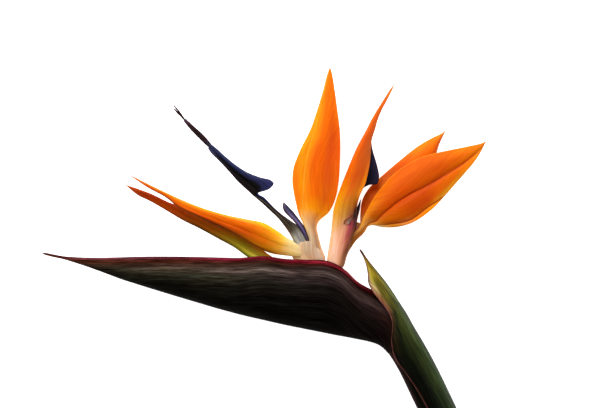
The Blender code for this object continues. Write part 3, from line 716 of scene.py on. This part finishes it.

# greenEdgedSepalSkin: a browner petal. The eye sees green along its lower edge, and a painted shadow from the
# upper petal along its upper edge.
frontLowerSepal = {
    "thickness": 1.4, "crown": 0.12, "alongCount": 260,
    "creases": [{"path": [(0, 0.5), (0.3, 0.35), (1, 0.45)], "depth": -1.0, "reach": 1.5,
        "fade": [(0, 0.3), (0.25, 1), (0.8, 0.6), (1, 0)]}],
    "waves": [{"edge": 0, "count": 3.0, "height": 0.4, "reach": 2.0, "shift": 0.4}],
    "stations": [
        (-13.7, -6.0, -15.3, -2.0, -1.2), (-25.0, -4.6, -24.5, -0.2, -2.2), (-38.5, 0.4, -36.0, 8.0, -2.6),
        (-45.5, 5.4, -42.0, 12.2, -2.6), (-53.0, 9.5, -50.5, 16.4, -2.6), (-63.0, 15.0, -60.5, 20.8, -2.6),
        (-73.0, 20.0, -71.5, 26.0, -2.5), (-80.0, 24.2, -78.5, 28.3, -2.4), (-88.0, 28.8, -87.5, 32.6, -2.2),
        (-95.0, 32.4, -95.5, 35.6, -2.0), (-100.8, 37.3, -100.8, 37.3, -2.0),
    ],
    "look": {
        "bands": [
            (0.06, "4a2a08@0 4c6008@14 66801a@24 6c7010@32 645305@40 675119@48 543c0c@56 884312@66 a2430d@76 "
            "ab400e@84 a43e0a@92 aa5e2f@98"),
            (0.28, "c8b850@0 d8d468@14 c8c448@24 a8a428@32 98801a@40 9f5a04@50 9e5107@60 ae4905@70 ab4301@80 "
            "a83603@88 b8470b@97"),
            (0.60, "b9902a@0 a8942a@20 8d8116@30 a4790b@38 9f5a04@46 9e5107@56 ae4905@66 ab4301@76 a83603@84 "
            "8c2f06@90 b8470b@98"),
            # Painted shadow: the dark browns along the upper edge, where the upper sepal shades this one.
            (0.92, "b9902a@0 ab8324@20 814109@30 5e2602@40 752903@50 94360a@62 a73604@74 9f3004@84 bf4903@92 "
            "c85710@98"),
        ],
        **petalFlesh, "depth": 0.08,
        # Painted light: a warm colour blended in along the margins, for light shining through them.
        "glow": {"reach": 0.4, "strength": 0.12, "code": "d9952c"},
    },
}
makePiece("greenEdgedSepalSkin", frontLowerSepal, "front_lower_sepal", sheetFaces, "petal",
    6)

# uprightSepalSkin: the brightest petal. The eye sees flat clear orange with a pale rib, which is a painted
# highlight along its fold, painted shade in its groove, and a cream claw.
frontUprightSepal = {
    "thickness": 1.6, "crown": 0.13, "alongCount": 280, "acrossCount": 72,
    "creases": [
        {"path": [(0, 0.3), (0.25, 0.18), (0.5, 0.25), (0.75, 0.12), (1, 0.1)], "depth": -0.8, "reach": 1.1,
            "fade": [(0, 0.6), (0.2, 1), (0.7, 0.8), (1, 0)]},
        {"path": [(0, 0.8), (0.5, 0.8), (1, 0.8)], "depth": -0.9, "reach": 2.4,
            "fade": [(0, 0), (0.2, 0.6), (0.7, 0.8), (1, 0)]},
    ],
    "waves": [{"edge": 0, "count": 2.2, "height": 0.6, "reach": 3.0},
        {"edge": 1, "count": 2.6, "height": 0.6, "reach": 3.0, "shift": 0.3}],
    "stations": [
        (-7.8, -4.0, -3.0, -3.6, 0.4), (-8.6, 1.0, -2.2, 1.6, 0.9), (-9.6, 6.0, -3.0, 7.2, 2.5),
        (-10.2, 11.4, -4.2, 13.1, 3.3), (-11.4, 17.5, -4.6, 16.2, 1.9), (-13.3, 21.5, -3.6, 18.8, 0.4),
        (-15.0, 27.5, 1.4, 23.3, -1.0), (-16.3, 34.0, 5.0, 31.0, -1.4), (-16.9, 39.5, 6.5, 39.5, -1.8),
        (-16.3, 45.5, 7.0, 47.0, -2.1), (-13.0, 54.4, 7.3, 56.0, -2.4), (-8.0, 64.5, 7.0, 64.5, -2.7),
        (-4.5, 74.5, 5.8, 74.5, -3.0), (-1.5, 84.5, 4.5, 84.5, -3.4), (0.8, 93.2, 2.9, 93.8, -3.8),
        (2.0, 96.5, 2.0, 96.5, -4.0),
    ],
    "look": {
        "bands": [
            (0.06, "f4dcb4@0 f4dcb0@14 f8cc70@21 fc8b05@27 fa8503@32 fe8300@42 fe9201@52 fda604@62 fea403@72 "
            "f6a207@83 fbb03e@95"),
            (0.22, "f4dcb8@0 f4dcb8@15 f8d8a8@21 faad28@28 fb9408@33 fa9901@41 f69507@49 fd9004@57 fe9c05@65 "
            "fe9304@75 fa8604@87 fb8f10@98"),
            (0.46, "e0c8ac@0 dcc0a4@14 d0ac88@21 f59a03@29 f17302@36 ee6900@45 f16a00@55 f47100@64 fa7500@73 "
            "fa7802@83 fd8307@93"),
            # Painted shade: the darker orange band lies in the broad groove near the second edge.
            (0.80, "ccac98@0 c4a090@14 b88c6c@21 ec9105@28 e26e01@34 dd5e02@44 e25a02@54 de5700@64 e96600@74 "
            "f87a03@85 fb7f07@94"),
            (0.97, "e0c0a4@0 dcb898@13 dcb080@20 f2a414@27 ee7c08@34 e96c06@50 ee6c06@66 f57804@80 fb8a0c@96"),
        ],
        # Painted highlight: a pale line along the fold near the first edge.
        "lines": [{"path": [(0, 0.30), (0.12, 0.22), (0.28, 0.20), (0.5, 0.25), (0.75, 0.12), (1, 0.1)],
            "width": 0.55, "code": "ffb738", "strength": [(0, 0), (0.2, 0), (0.27, 0.7), (0.5, 0.65), (0.75, 0.3),
            (1, 0)]}],
        **petalFlesh,
        # Painted light: orange-yellow blended in along the margins, for light shining through them.
        "glow": {"reach": 0.6, "strength": 0.4, "code": "ffb431"},
    },
}
makePiece("uprightSepalSkin", frontUprightSepal, "front_upright_sepal", sheetFaces, "petal", 7)

# foldedSepalSkin: orange over a pink claw. The eye sees the dark-ringed spot where the petals part; its dark
# rings are painted shade in that split.
rearNarrowSepal = {
    "wall": 1.0, "alongCount": 260, "acrossCount": 96,
    "stations": [
        (1.1, -7.0, 5.6, -7.4, 0.0, 2.9), (0.5, -1.2, 7.2, -1.8, 0.0, 4.0), (0.9, 3.0, 8.8, 3.6, 0.0, 4.7),
        (1.8, 9.0, 11.6, 10.0, 0.0, 5.0), (2.7, 15.2, 14.4, 16.0, 0.0, 5.4), (3.1, 19.5, 15.0, 20.5, 0.0, 5.8),
        (3.6, 24.0, 15.2, 25.0, 0.0, 6.4),
        (5.2, 30.0, 16.5, 31.0, 0.0, 7.0), (7.3, 36.0, 19.3, 37.3, 0.0, 7.0), (9.6, 42.0, 20.8, 43.0, 0.0, 6.8),
        (12.0, 48.0, 21.9, 49.5, 0.0, 6.2), (14.5, 54.0, 22.3, 55.0, 0.0, 5.5),
        (17.1, 59.2, 22.8, 59.6, 0.0, 4.6),
        (20.0, 64.5, 24.4, 64.5, 0.0, 3.7), (22.5, 69.5, 25.8, 69.5, 0.0, 2.9),
        (25.4, 74.5, 27.9, 74.5, 0.0, 2.2),
        (28.6, 79.5, 30.6, 79.5, 0.0, 1.6), (31.8, 84.5, 33.1, 84.5, 0.0, 1.0),
        (34.5, 88.3, 34.5, 88.3, 0.0, 0.0),
    ],
    "look": {
        "bands": [
            (0.10, "ffe0d0@0 ffdccc@12 fcd0b4@20 f4c078@25 f4b83c@31 f2a810@36 f39501@42 ea7104@50 f37006@60 "
            "f56903@70 ec7c23@82 d85a04@91 d56811@98"),
            (0.45, "ffdccc@0 fcd0c4@10 f4bcac@18 dca080@24 d09448@29 d08c20@34 d76a08@41 cc5400@50 cc580e@60 "
            "cc5306@70 d95706@80 da721a@91 df8a33@98"),
            (0.75, "fcd0b8@0 f0b8a4@8 d89088@17 c06a68@24 9c6040@29 b46c20@34 c86a10@42 c8560a@50 c05a14@60 "
            "c05210@72 cc5a10@85 df8a33@98"),
            # Painted shade: the dark reds a quarter of the way along lie in the split where the petals part.
            (0.95, "dca488@0 c08468@8 9c5448@17 5c2834@24 40202c@29 95470f@35 e08818@41 ed880e@47 d87020@54 "
            "b05828@62 b85a14@75 d86a10@88 df8a33@98"),
        ],
        "inside": [
            (0.3, "e5a57e d98a4a c86a20 b85a10 b85210", (0.05, 0.95)),
            (0.9, "d8a888 e0a070 d08848 c87830 c05e1d", (0.05, 0.95)),
        ],
        # Painted shade: the dark brown and near black lines ringing the spot stand for the shade in the split
        # where the petals part.
        "lines": [
            {"path": [(0, 0.84), (0.15, 0.82), (0.25, 0.78), (1, 0.78)], "width": 1.6, "code": "a03054",
                "strength": [(0, 0), (0.1, 0), (0.17, 0.4), (0.22, 0.8), (0.255, 0.8), (0.27, 0), (1, 0)]},
            {"path": [(0, 0.70), (1, 0.70)], "width": 2.6, "code": "5a2028",
                "strength": [(0, 0), (0.236, 0), (0.252, 0.75), (0.272, 0.7), (0.295, 0), (1, 0)]},
            {"path": [(0, 0.66), (0.25, 0.66), (0.28, 0.76), (1, 0.8)], "width": 1.0, "code": "b0b0a8",
                "strength": [(0, 0), (0.246, 0), (0.258, 0.8), (0.27, 0.6), (0.284, 0.0), (1, 0)]},
            {"path": [(0, 0.52), (0.258, 0.52), (0.274, 0.6), (0.29, 0.8), (1, 0.8)], "width": 0.9,
                "code": "5a1c14", "strength": [(0, 0), (0.245, 0), (0.252, 0.9), (0.286, 0.9), (0.3, 0), (1, 0)]},
            {"path": [(0, 0.62), (0.262, 0.7), (0.275, 0.86), (0.3, 0.93), (1, 0.95)], "width": 1.0,
                "code": "202028", "strength": [(0, 0), (0.252, 0), (0.264, 0.7), (0.31, 0.8), (0.34, 0), (1, 0)]},
        ],
        **petalFlesh,
        # Painted light: orange blended in along the margins, for light shining through them.
        "glow": {"reach": 0.3, "strength": 0.15, "code": "ffb040"},
    },
}
makePiece("foldedSepalSkin", rearNarrowSepal, "rear_narrow_sepal", arcFaces, "petal", 8)

# nearSepalSkin: orange petal with deep folds. The eye sees them as darker bands, painted shade along the folds.
rearNearSepal = {
    "thickness": 1.5, "crown": 0.10, "alongCount": 260, "acrossCount": 84,
    "creases": [
        {"path": [(0, 0.3), (0.2, 0.32), (0.29, 0.49), (0.4, 0.53), (0.63, 0.41), (0.84, 0.37), (1, 0.5)],
            "depth": -2.0, "reach": 1.7, "power": 1.0,
        "fade": [(0, 0), (0.2, 0.6), (0.4, 1), (0.9, 0.8), (1, 0)]},
        {"path": [(0, 0.15), (0.3, 0.12), (0.4, 0.075), (0.52, 0.087), (0.67, 0.0), (1, 0.0)], "depth": -1.0,
            "reach": 0.8, "fade": [(0, 0), (0.22, 0), (0.3, 1), (0.6, 1), (0.7, 0), (1, 0)]},
    ],
    "waves": [{"edge": 0, "count": 2.4, "height": 0.9, "reach": 3.0, "shift": 0.1},
        {"edge": 1, "count": 2.0, "height": 0.6, "reach": 3.5}],
    "stations": [
        (11.6, 4.0, 8.6, 4.8, -0.6), (14.8, 9.0, 10.8, 9.6, 1.4), (18.6, 12.8, 14.0, 13.2, 2.6),
        (21.1, 16.4, 16.9, 16.2, 3.2), (23.2, 16.9, 18.2, 20.0, 3.4), (27.0, 16.1, 19.8, 23.4, 3.2),
        (33.0, 15.8, 23.2, 29.6, 3.4), (42.0, 17.8, 29.5, 38.0, 4.2), (52.0, 24.3, 37.5, 45.3, 4.4),
        (58.0, 30.2, 47.0, 50.6, 4.4),
        (64.5, 37.6, 57.0, 53.4, 4.3), (70.0, 43.9, 67.0, 55.5, 4.0), (73.6, 48.2, 72.3, 56.6, 3.8),
        (76.6, 52.6, 76.8, 57.6, 3.5),
        (79.9, 58.9, 79.9, 58.9, 3.2),
    ],
    "look": {
        "bands": [
            (0.04, "9a6020@0 a86a30@12 b88040@17 f8e4b4@21.5 f0c878@25 e2971b@30 f19e50@36 f68804@44 fd9f03@55 "
            "f8ac19@66 f8a020@80 f0901c@96"),
            (0.18, "9a6020@0 b87020@12 e0a040@20 d87004@28 d56301@36 c64b00@45 d14e05@54 eb6b02@64 f37802@76 "
            "fb8704@88 f7a925@97"),
            (0.62, "8e5a2c@0 a86a38@12 d8964a@18 ba5a00@24 d95801@34 dd5704@46 d75a01@58 d95801@70 ea7001@84 "
            "f08909@96"),
            (0.93, "b07840@0 c88a50@12 e8a848@18 e68704@24 ee7704@36 ed6d07@48 ed6902@60 f07206@72 fa8301@86 "
            "f77e04@97"),
        ],
        # Painted shade: darker lines along the two folds.
        "lines": [
            {"path": [(0, 0.3), (0.2, 0.32), (0.29, 0.49), (0.4, 0.53), (0.63, 0.41), (0.84, 0.37), (1, 0.5)],
                "width": 0.8, "code": "a83600", "strength": [(0, 0), (0.15, 0.4), (0.25, 0.9), (0.6, 0.85), (0.95,
                0.6), (1, 0)]},
            {"path": [(0, 0.15), (0.3, 0.12), (0.4, 0.075), (0.52, 0.087), (0.67, 0.0), (1, 0.0)], "width": 0.6,
                "code": "b04002", "strength": [(0, 0), (0.22, 0.2), (0.3, 0.9), (0.55, 0.9), (0.66, 0.6),
                (0.72, 0), (1, 0)]},
        ],
        **petalFlesh,
        # Painted light: yellow-orange blended in along the margins, for light shining through them.
        "glow": {"reach": 0.5, "strength": 0.4, "code": "ffb030"},
    },
}
makePiece("nearSepalSkin", rearNearSepal, "rear_near_sepal", sheetFaces, "petal", 9)

# farSepalSkin: orange petal in its neighbour's shade. The eye sees it stand further back.
rearFarSepal = {
    "thickness": 1.3, "crown": 0.10, "alongCount": 220,
    "creases": [{"path": [(0, 0.5), (0.6, 0.3), (1, 0.4)], "depth": -1.0, "reach": 1.4,
        "fade": [(0, 0.3), (0.3, 1), (1, 0.2)]}],
    "waves": [{"edge": 1, "count": 2.3, "height": 0.5, "reach": 3.0}],
    "stations": [
        (19.6, 13.6, 14.8, 13.4, -1.4), (20.8, 16.4, 16.8, 16.2, -2.2), (22.5, 19.0, 17.2, 22.5, -3.0),
        (26.0, 22.0, 17.9, 28.3, -4.4),
        (31.5, 26.0, 21.5, 35.2, -6.0), (37.0, 30.0, 27.2, 40.7, -7.2), (44.0, 36.0, 37.0, 49.2, -8.2),
        (51.0, 43.5, 47.0, 57.0, -8.8),
        (55.3, 51.0, 53.5, 60.8, -9.0), (57.3, 57.5, 57.6, 62.8, -9.1), (60.8, 64.8, 60.8, 64.8, -9.2),
    ],
    "look": {
        "bands": [
            (0.10, "e8b068 c86a10 cc5c08 d05a02 d05a02 ca6212 cd7247", (0.04, 0.98)),
            (0.45, "e8b068 e07808 e0700c dd690d e06805 e87004 e8780c d8742c", (0.04, 0.98)),
            (0.90, "f0c080 fd7904 ed7b05 e9740e dd690d ed6e01 f48208 fa8c02 ff8f02 e8a33e", (0.04, 0.98)),
        ],
        # Painted shade: a darker line along the fold.
        "lines": [{"path": [(0, 0.5), (0.6, 0.3), (1, 0.4)], "width": 0.6, "code": "b84e0a",
            "strength": [(0, 0), (0.5, 0.2), (0.7, 0.7), (0.95, 0.7), (1, 0)]}],
        **petalFlesh,
        # Painted light: orange blended in along the margins, for light shining through them.
        "glow": {"reach": 0.5, "strength": 0.4, "code": "ffa828"},
    },
}
makePiece("farSepalSkin", rearFarSepal, "rear_far_sepal", sheetFaces, "petal", 10)

tongueFlesh = {
    "streaks": [
        {"spacing": 0.6, "stretch": 16, "low": "b4b4c0"},
        {"spacing": 1.8, "stretch": 8, "low": "d0d0dc"},
    ],
    "fibre": 0.3, "roughness": 0.5, "specular": 0.08,
}

# blueArrowSkin: dull velvety fibres. The eye sees blue on the fin, near black along the fold, which is painted
# shade, and grey at the claw; the fin's edge carries a painted highlight.
frontTongue = {
    "thickness": 2.4, "crown": 0.0, "alongCount": 320, "acrossCount": 72,
    "creases": [{"path": [(0, 0.5), (0.5, 0.5), (0.62, 0.25), (0.8, 0.35), (1, 0.5)], "depth": -0.6,
        "reach": 0.7}],
    "stations": [
        (-10.0, -4.0, -6.4, -3.6, 0.0), (-11.6, 0.6, -6.4, 1.8, 1.4), (-13.8, 4.8, -8.0, 6.6, 2.7),
        (-16.4, 9.4, -10.6, 11.2, 4.0), (-18.1, 12.6, -12.8, 15.5, 3.2), (-20.5, 16.0, -17.3, 19.0, 1.9),
        (-23.8, 20.2, -21.6, 22.0, 0.8), (-28.0, 24.2, -25.9, 25.7, 0.2), (-33.0, 28.8, -30.5, 30.5, 0.2),
        (-36.5, 31.7, -33.4, 33.4, 0.2),
        (-37.4, 32.6, -29.0, 34.6, 0.2), (-39.2, 34.2, -26.2, 37.3, 0.2), (-41.5, 36.3, -27.2, 39.2, 0.2),
        (-44.5, 39.2, -33.0, 40.9, 0.2),
        (-47.5, 42.6, -39.5, 43.5, 0.2), (-51.0, 46.4, -45.5, 47.4, 0.2), (-54.5, 50.0, -50.5, 51.5, 0.2),
        (-57.5, 53.0, -55.0, 55.6, 0.2),
        (-59.0, 55.2, -57.9, 57.8, 0.2),
    ],
    "look": {
        "bands": [
            (0.08, "f0dcb8@0 e8d8b4@15 a89c78@20 604728@24.5 4f3c22@28 432f1d@36 30221c@45 20160f@55 1c1214@68 "
            "24181c@80 342c34@90 4a4a68@98"),
            # Painted shade: near black along the fold, where the shaft's side lies in shadow.
            (0.42, "f0dcb8@0 e4dcc4@15 b8b49c@20 5a503c@24.5 3a2e1c@28 1b1922@38 0e0f12@50 0c0a0c@60 0c0a0c@70 "
            "0c0b0c@80 110f0e@90 303353@98"),
            (0.66, "f0dcb8@0 dcd4c0@15 c0b8a4@20 6a6048@24.5 3a2e20@28 2b1f19@40 1e2444@52 2c2d54@60 2c2d54@70 "
            "1e2444@80 292d4f@90 303353@98"),
            # Lighter blue along the fin's edge: partly the fin's colour, partly painted highlight.
            (0.93, "e8d4b0@0 d4c8b0@15 b8b09c@19 706858@24 4a4038@27 3a3040@40 2e3366@52 3c3f70@60 3e4068@70 "
            "44466c@80 4a4c6c@90 3e3e60@98"),
        ],
        # Painted highlight: a thin olive line on the shaft.
        "lines": [{"path": [(0, 0.4), (0.3, 0.45), (0.45, 0.5), (0.56, 0.2), (1, 0.3)], "width": 0.3,
            "code": "8a7850", "strength": [(0, 0), (0.2, 0.2), (0.3, 0.8), (0.5, 0.8), (0.58, 0), (1, 0)]}],
        # Painted highlight: light blue blended in along the edges.
        "glow": {"reach": 0.45, "strength": 0.3, "code": "8a8eb4"},
        **tongueFlesh,
    },
}
makePiece("blueArrowSkin", frontTongue, "front_tongue", sheetFaces, "tongue", 11)

# darkArrowSkin: the same velvet, in shade. The eye sees a dark blue sliver between two orange petals.
rearTongue = {
    "thickness": 1.4, "crown": 0.06, "alongCount": 160,
    "stations": [
        (7.4, 15.3, 11.4, 15.6, -0.4), (9.5, 22.0, 12.5, 22.4, -0.5), (12.2, 29.0, 14.8, 29.4, -0.6),
        (15.0, 35.0, 18.0, 34.9, -0.6),
        (15.8, 36.8, 21.7, 37.0, -0.6), (16.6, 38.6, 25.4, 37.4, -0.6), (17.4, 41.0, 26.5, 39.9, -0.6),
        (19.1, 46.5, 25.8, 46.0, -0.6),
        (20.2, 51.0, 24.5, 50.7, -0.6), (21.2, 55.5, 23.2, 55.4, -0.6), (22.6, 62.0, 22.6, 62.0, -0.6),
    ],
    "look": {
        "bands": [(0.1, "4a3a26 1c1820 141220 16142a 181630"), (0.9, "4a3a26 2a2230 2a2438 34304c 2c2a48")],
        **tongueFlesh,
    },
}
makePiece("darkArrowSkin", rearTongue, "rear_tongue", sheetFaces, "tongue", 12)

# smallPetalSkin: violet velvet with a dark rim. The eye sees a thin cupped petal.
frontSmallPetal = {
    "thickness": 1.3, "crown": 0.10, "alongCount": 140,
    "creases": [{"path": [(0, 0.5), (1, 0.5)], "depth": -0.5, "reach": 0.6}],
    "stations": [
        (-9.6, 7.6, -8.0, 8.2, 3.9), (-10.8, 11.3, -9.0, 11.8, 5.4), (-13.0, 14.8, -10.6, 16.0, 4.8),
        (-16.2, 18.9, -13.0, 19.3, 4.0),
        (-19.3, 22.0, -15.3, 22.3, 3.4), (-21.0, 24.0, -17.0, 24.4, 3.5), (-21.7, 26.6, -18.9, 26.4, 3.5),
        (-21.2, 28.6, -21.2, 28.6, 3.5),
    ],
    "look": {
        "bands": [
            (0.15, "6b5438 49325c 43324f 61475e 473d51 5d5061"), (0.5, "806850 7a6490 8478a0 7c7098 5d5061"),
            (0.85, "6b5438 2f2930 3c2d41 2a2a48 3c354a"),
        ],
        "glow": {"reach": 0.3, "strength": 0.7, "code": "24223c"},
        **tongueFlesh,
    },
}
makePiece("smallPetalSkin", frontSmallPetal, "front_small_petal", sheetFaces, "tongue", 13)

# rearSmallPetalSkin: near black velvet. The eye sees one dark stroke at the narrow petal's foot.
rearSmallPetal = {
    "thickness": 1.1, "crown": 0.08, "alongCount": 100,
    "stations": [(13.0, 12.5, 14.7, 12.7, 2.2), (13.3, 15.8, 15.0, 15.9, 2.4), (14.0, 20.5, 15.8, 20.5, 2.4),
        (15.1, 25.0, 16.9, 25.0, 2.4), (17.5, 30.5, 17.5, 30.5, 2.4)],
    "look": {
        "bands": [(0.1, "834c1a 5d3125 3c2838 241c30"), (0.9, "833a35 613d31 2a2030 1c1828")],
        **tongueFlesh,
    },
}
makePiece("rearSmallPetalSkin", rearSmallPetal, "rear_small_petal", sheetFaces, "tongue", 14)

styleLook = {
    "bands": [(0.1, "30304a 30181a 200c0a 301818 4a2c3c"), (0.9, "3a3a54 3c2024 2a1212 402428 6c4860")],
    "streaks": [{"spacing": 0.5, "stretch": 4, "low": "806868"}], "fibre": 0.2, "roughness": 0.62,
    "specular": 0.12,
}

# styleSkin: dry brown thread. The eye sees a rough dull line leave the arrow.
frontStyle = {
    "thickness": 1.5, "crown": 0.0, "alongCount": 120, "acrossCount": 24,
    "stations": [(-58.4, 55.4, -57.0, 57.0, 0.2), (-59.7, 56.6, -58.0, 58.4, 0.2),
        (-63.1, 59.9, -61.2, 62.0, 0.2), (-67.7, 64.6, -66.0, 66.4, 0.1), (-71.3, 69.0, -70.1, 70.2, 0.0)],
    # The two threads of the stigma, which part near the end of the style
    "threads": [
        [(-70.3, 68.6, -69.7, 69.2, 0.2), (-72.6, 71.0, -72.0, 71.6, 0.2), (-74.6, 73.0, -74.0, 73.6, 0.1),
            (-76.2, 75.0, -75.7, 75.4, 0.0)],
        [(-71.1, 69.4, -70.4, 70.0, 0.1), (-73.2, 72.4, -72.5, 73.0, 0.0), (-74.9, 74.8, -74.3, 75.3, 0.0),
            (-76.4, 76.7, -75.9, 77.0, 0.0)],
    ],
    "look": styleLook,
}
makePiece("styleSkin", frontStyle, "front_style", sheetFaces, "style", 15)

# rearStyleSkin: the same thread, nearly hidden.
rearStyle = {
    "thickness": 1.3, "crown": 0.0, "alongCount": 90, "acrossCount": 24,
    "stations": [(22.3, 61.4, 23.0, 61.2, -0.5), (23.3, 66.4, 24.2, 66.1, -0.2), (25.0, 71.0, 25.8, 70.7, 0.0),
        (26.8, 74.4, 27.5, 74.1, 0.0), (27.9, 76.6, 28.4, 76.3, 0.0)],
    "look": styleLook,
}
makePiece("rearStyleSkin", rearStyle, "rear_style", sheetFaces, "style", 16)

# Pale table under a dim even sky, a large soft lamp on the side of the petals' tips and one to each side.
# Lamps: power in W, then how far right and up the table from the aim, in m.
studio = {
    "floorReach": 3.0, "floorGlow": 0.9, "sky": 0.17, "aim": (-10.0, 27.5, 0.0),
    "lamps": {"keyLamp": (14.5, -0.25, 0.9), "leftLamp": (6.0, -1.0, 0.1), "rightLamp": (6.0, 1.0, 0.1)},
    "lampHeight": 0.9, "lampSize": 0.8, "lens": 100, "frameWidth": 36, "cameraHeight": 0.85,
}
floorMesh = bpy.data.meshes.new("table")
reach = studio["floorReach"]
corners = [(-reach, -reach, 0), (reach, -reach, 0), (reach, reach, 0), (-reach, reach, 0)]
floorMesh.from_pydata(corners, [], [(0, 1, 2, 3)])
floor = bpy.data.objects.new("table", floorMesh)
bpy.context.scene.collection.objects.link(floor)
# whiteLaminate: smooth matt board that glows a little. The eye sees a plain white ground with faint shadows.
paint = bpy.data.materials.new("whiteLaminate")
paint.use_nodes = True
paintShader = paint.node_tree.nodes["Principled BSDF"]
paintShader.inputs["Base Color"].default_value = linear("fbfbfb")
paintShader.inputs["Roughness"].default_value = 0.9
paintShader.inputs["Specular IOR Level"].default_value = 0.1
paintShader.inputs["Emission Color"].default_value = (1, 1, 1, 1)
paintShader.inputs["Emission Strength"].default_value = studio["floorGlow"]
floorMesh.materials.append(paint)

world = bpy.data.worlds.new("softSky")
bpy.context.scene.world = world
world.use_nodes = True
sky = world.node_tree.nodes["Background"]
sky.inputs["Color"].default_value = (1, 1, 1, 1)
sky.inputs["Strength"].default_value = studio["sky"]

aim = Vector((notch + np.array(studio["aim"])) * mm)
for name, (power, right, up) in studio["lamps"].items():
    lamp = bpy.data.lights.new(name, "AREA")
    lamp.energy = power
    lamp.size = studio["lampSize"]
    stand = bpy.data.objects.new(name, lamp)
    stand.location = (aim.x + right, aim.y + up, studio["lampHeight"])
    stand.rotation_euler = (aim - stand.location).to_track_quat("-Z", "Y").to_euler()
    bpy.context.scene.collection.objects.link(stand)

# Straight down over the flower: a 100 mm lens on a 36 mm wide frame sees 306 mm from 850 mm
camera = bpy.data.cameras.new("camera")
camera.lens = studio["lens"]
camera.sensor_width = studio["frameWidth"]
camera.clip_end = 10
view = bpy.data.objects.new("camera", camera)
view.location = aim + Vector((0, 0, studio["cameraHeight"]))
bpy.context.scene.collection.objects.link(view)
bpy.context.scene.camera = view
print("studio made")
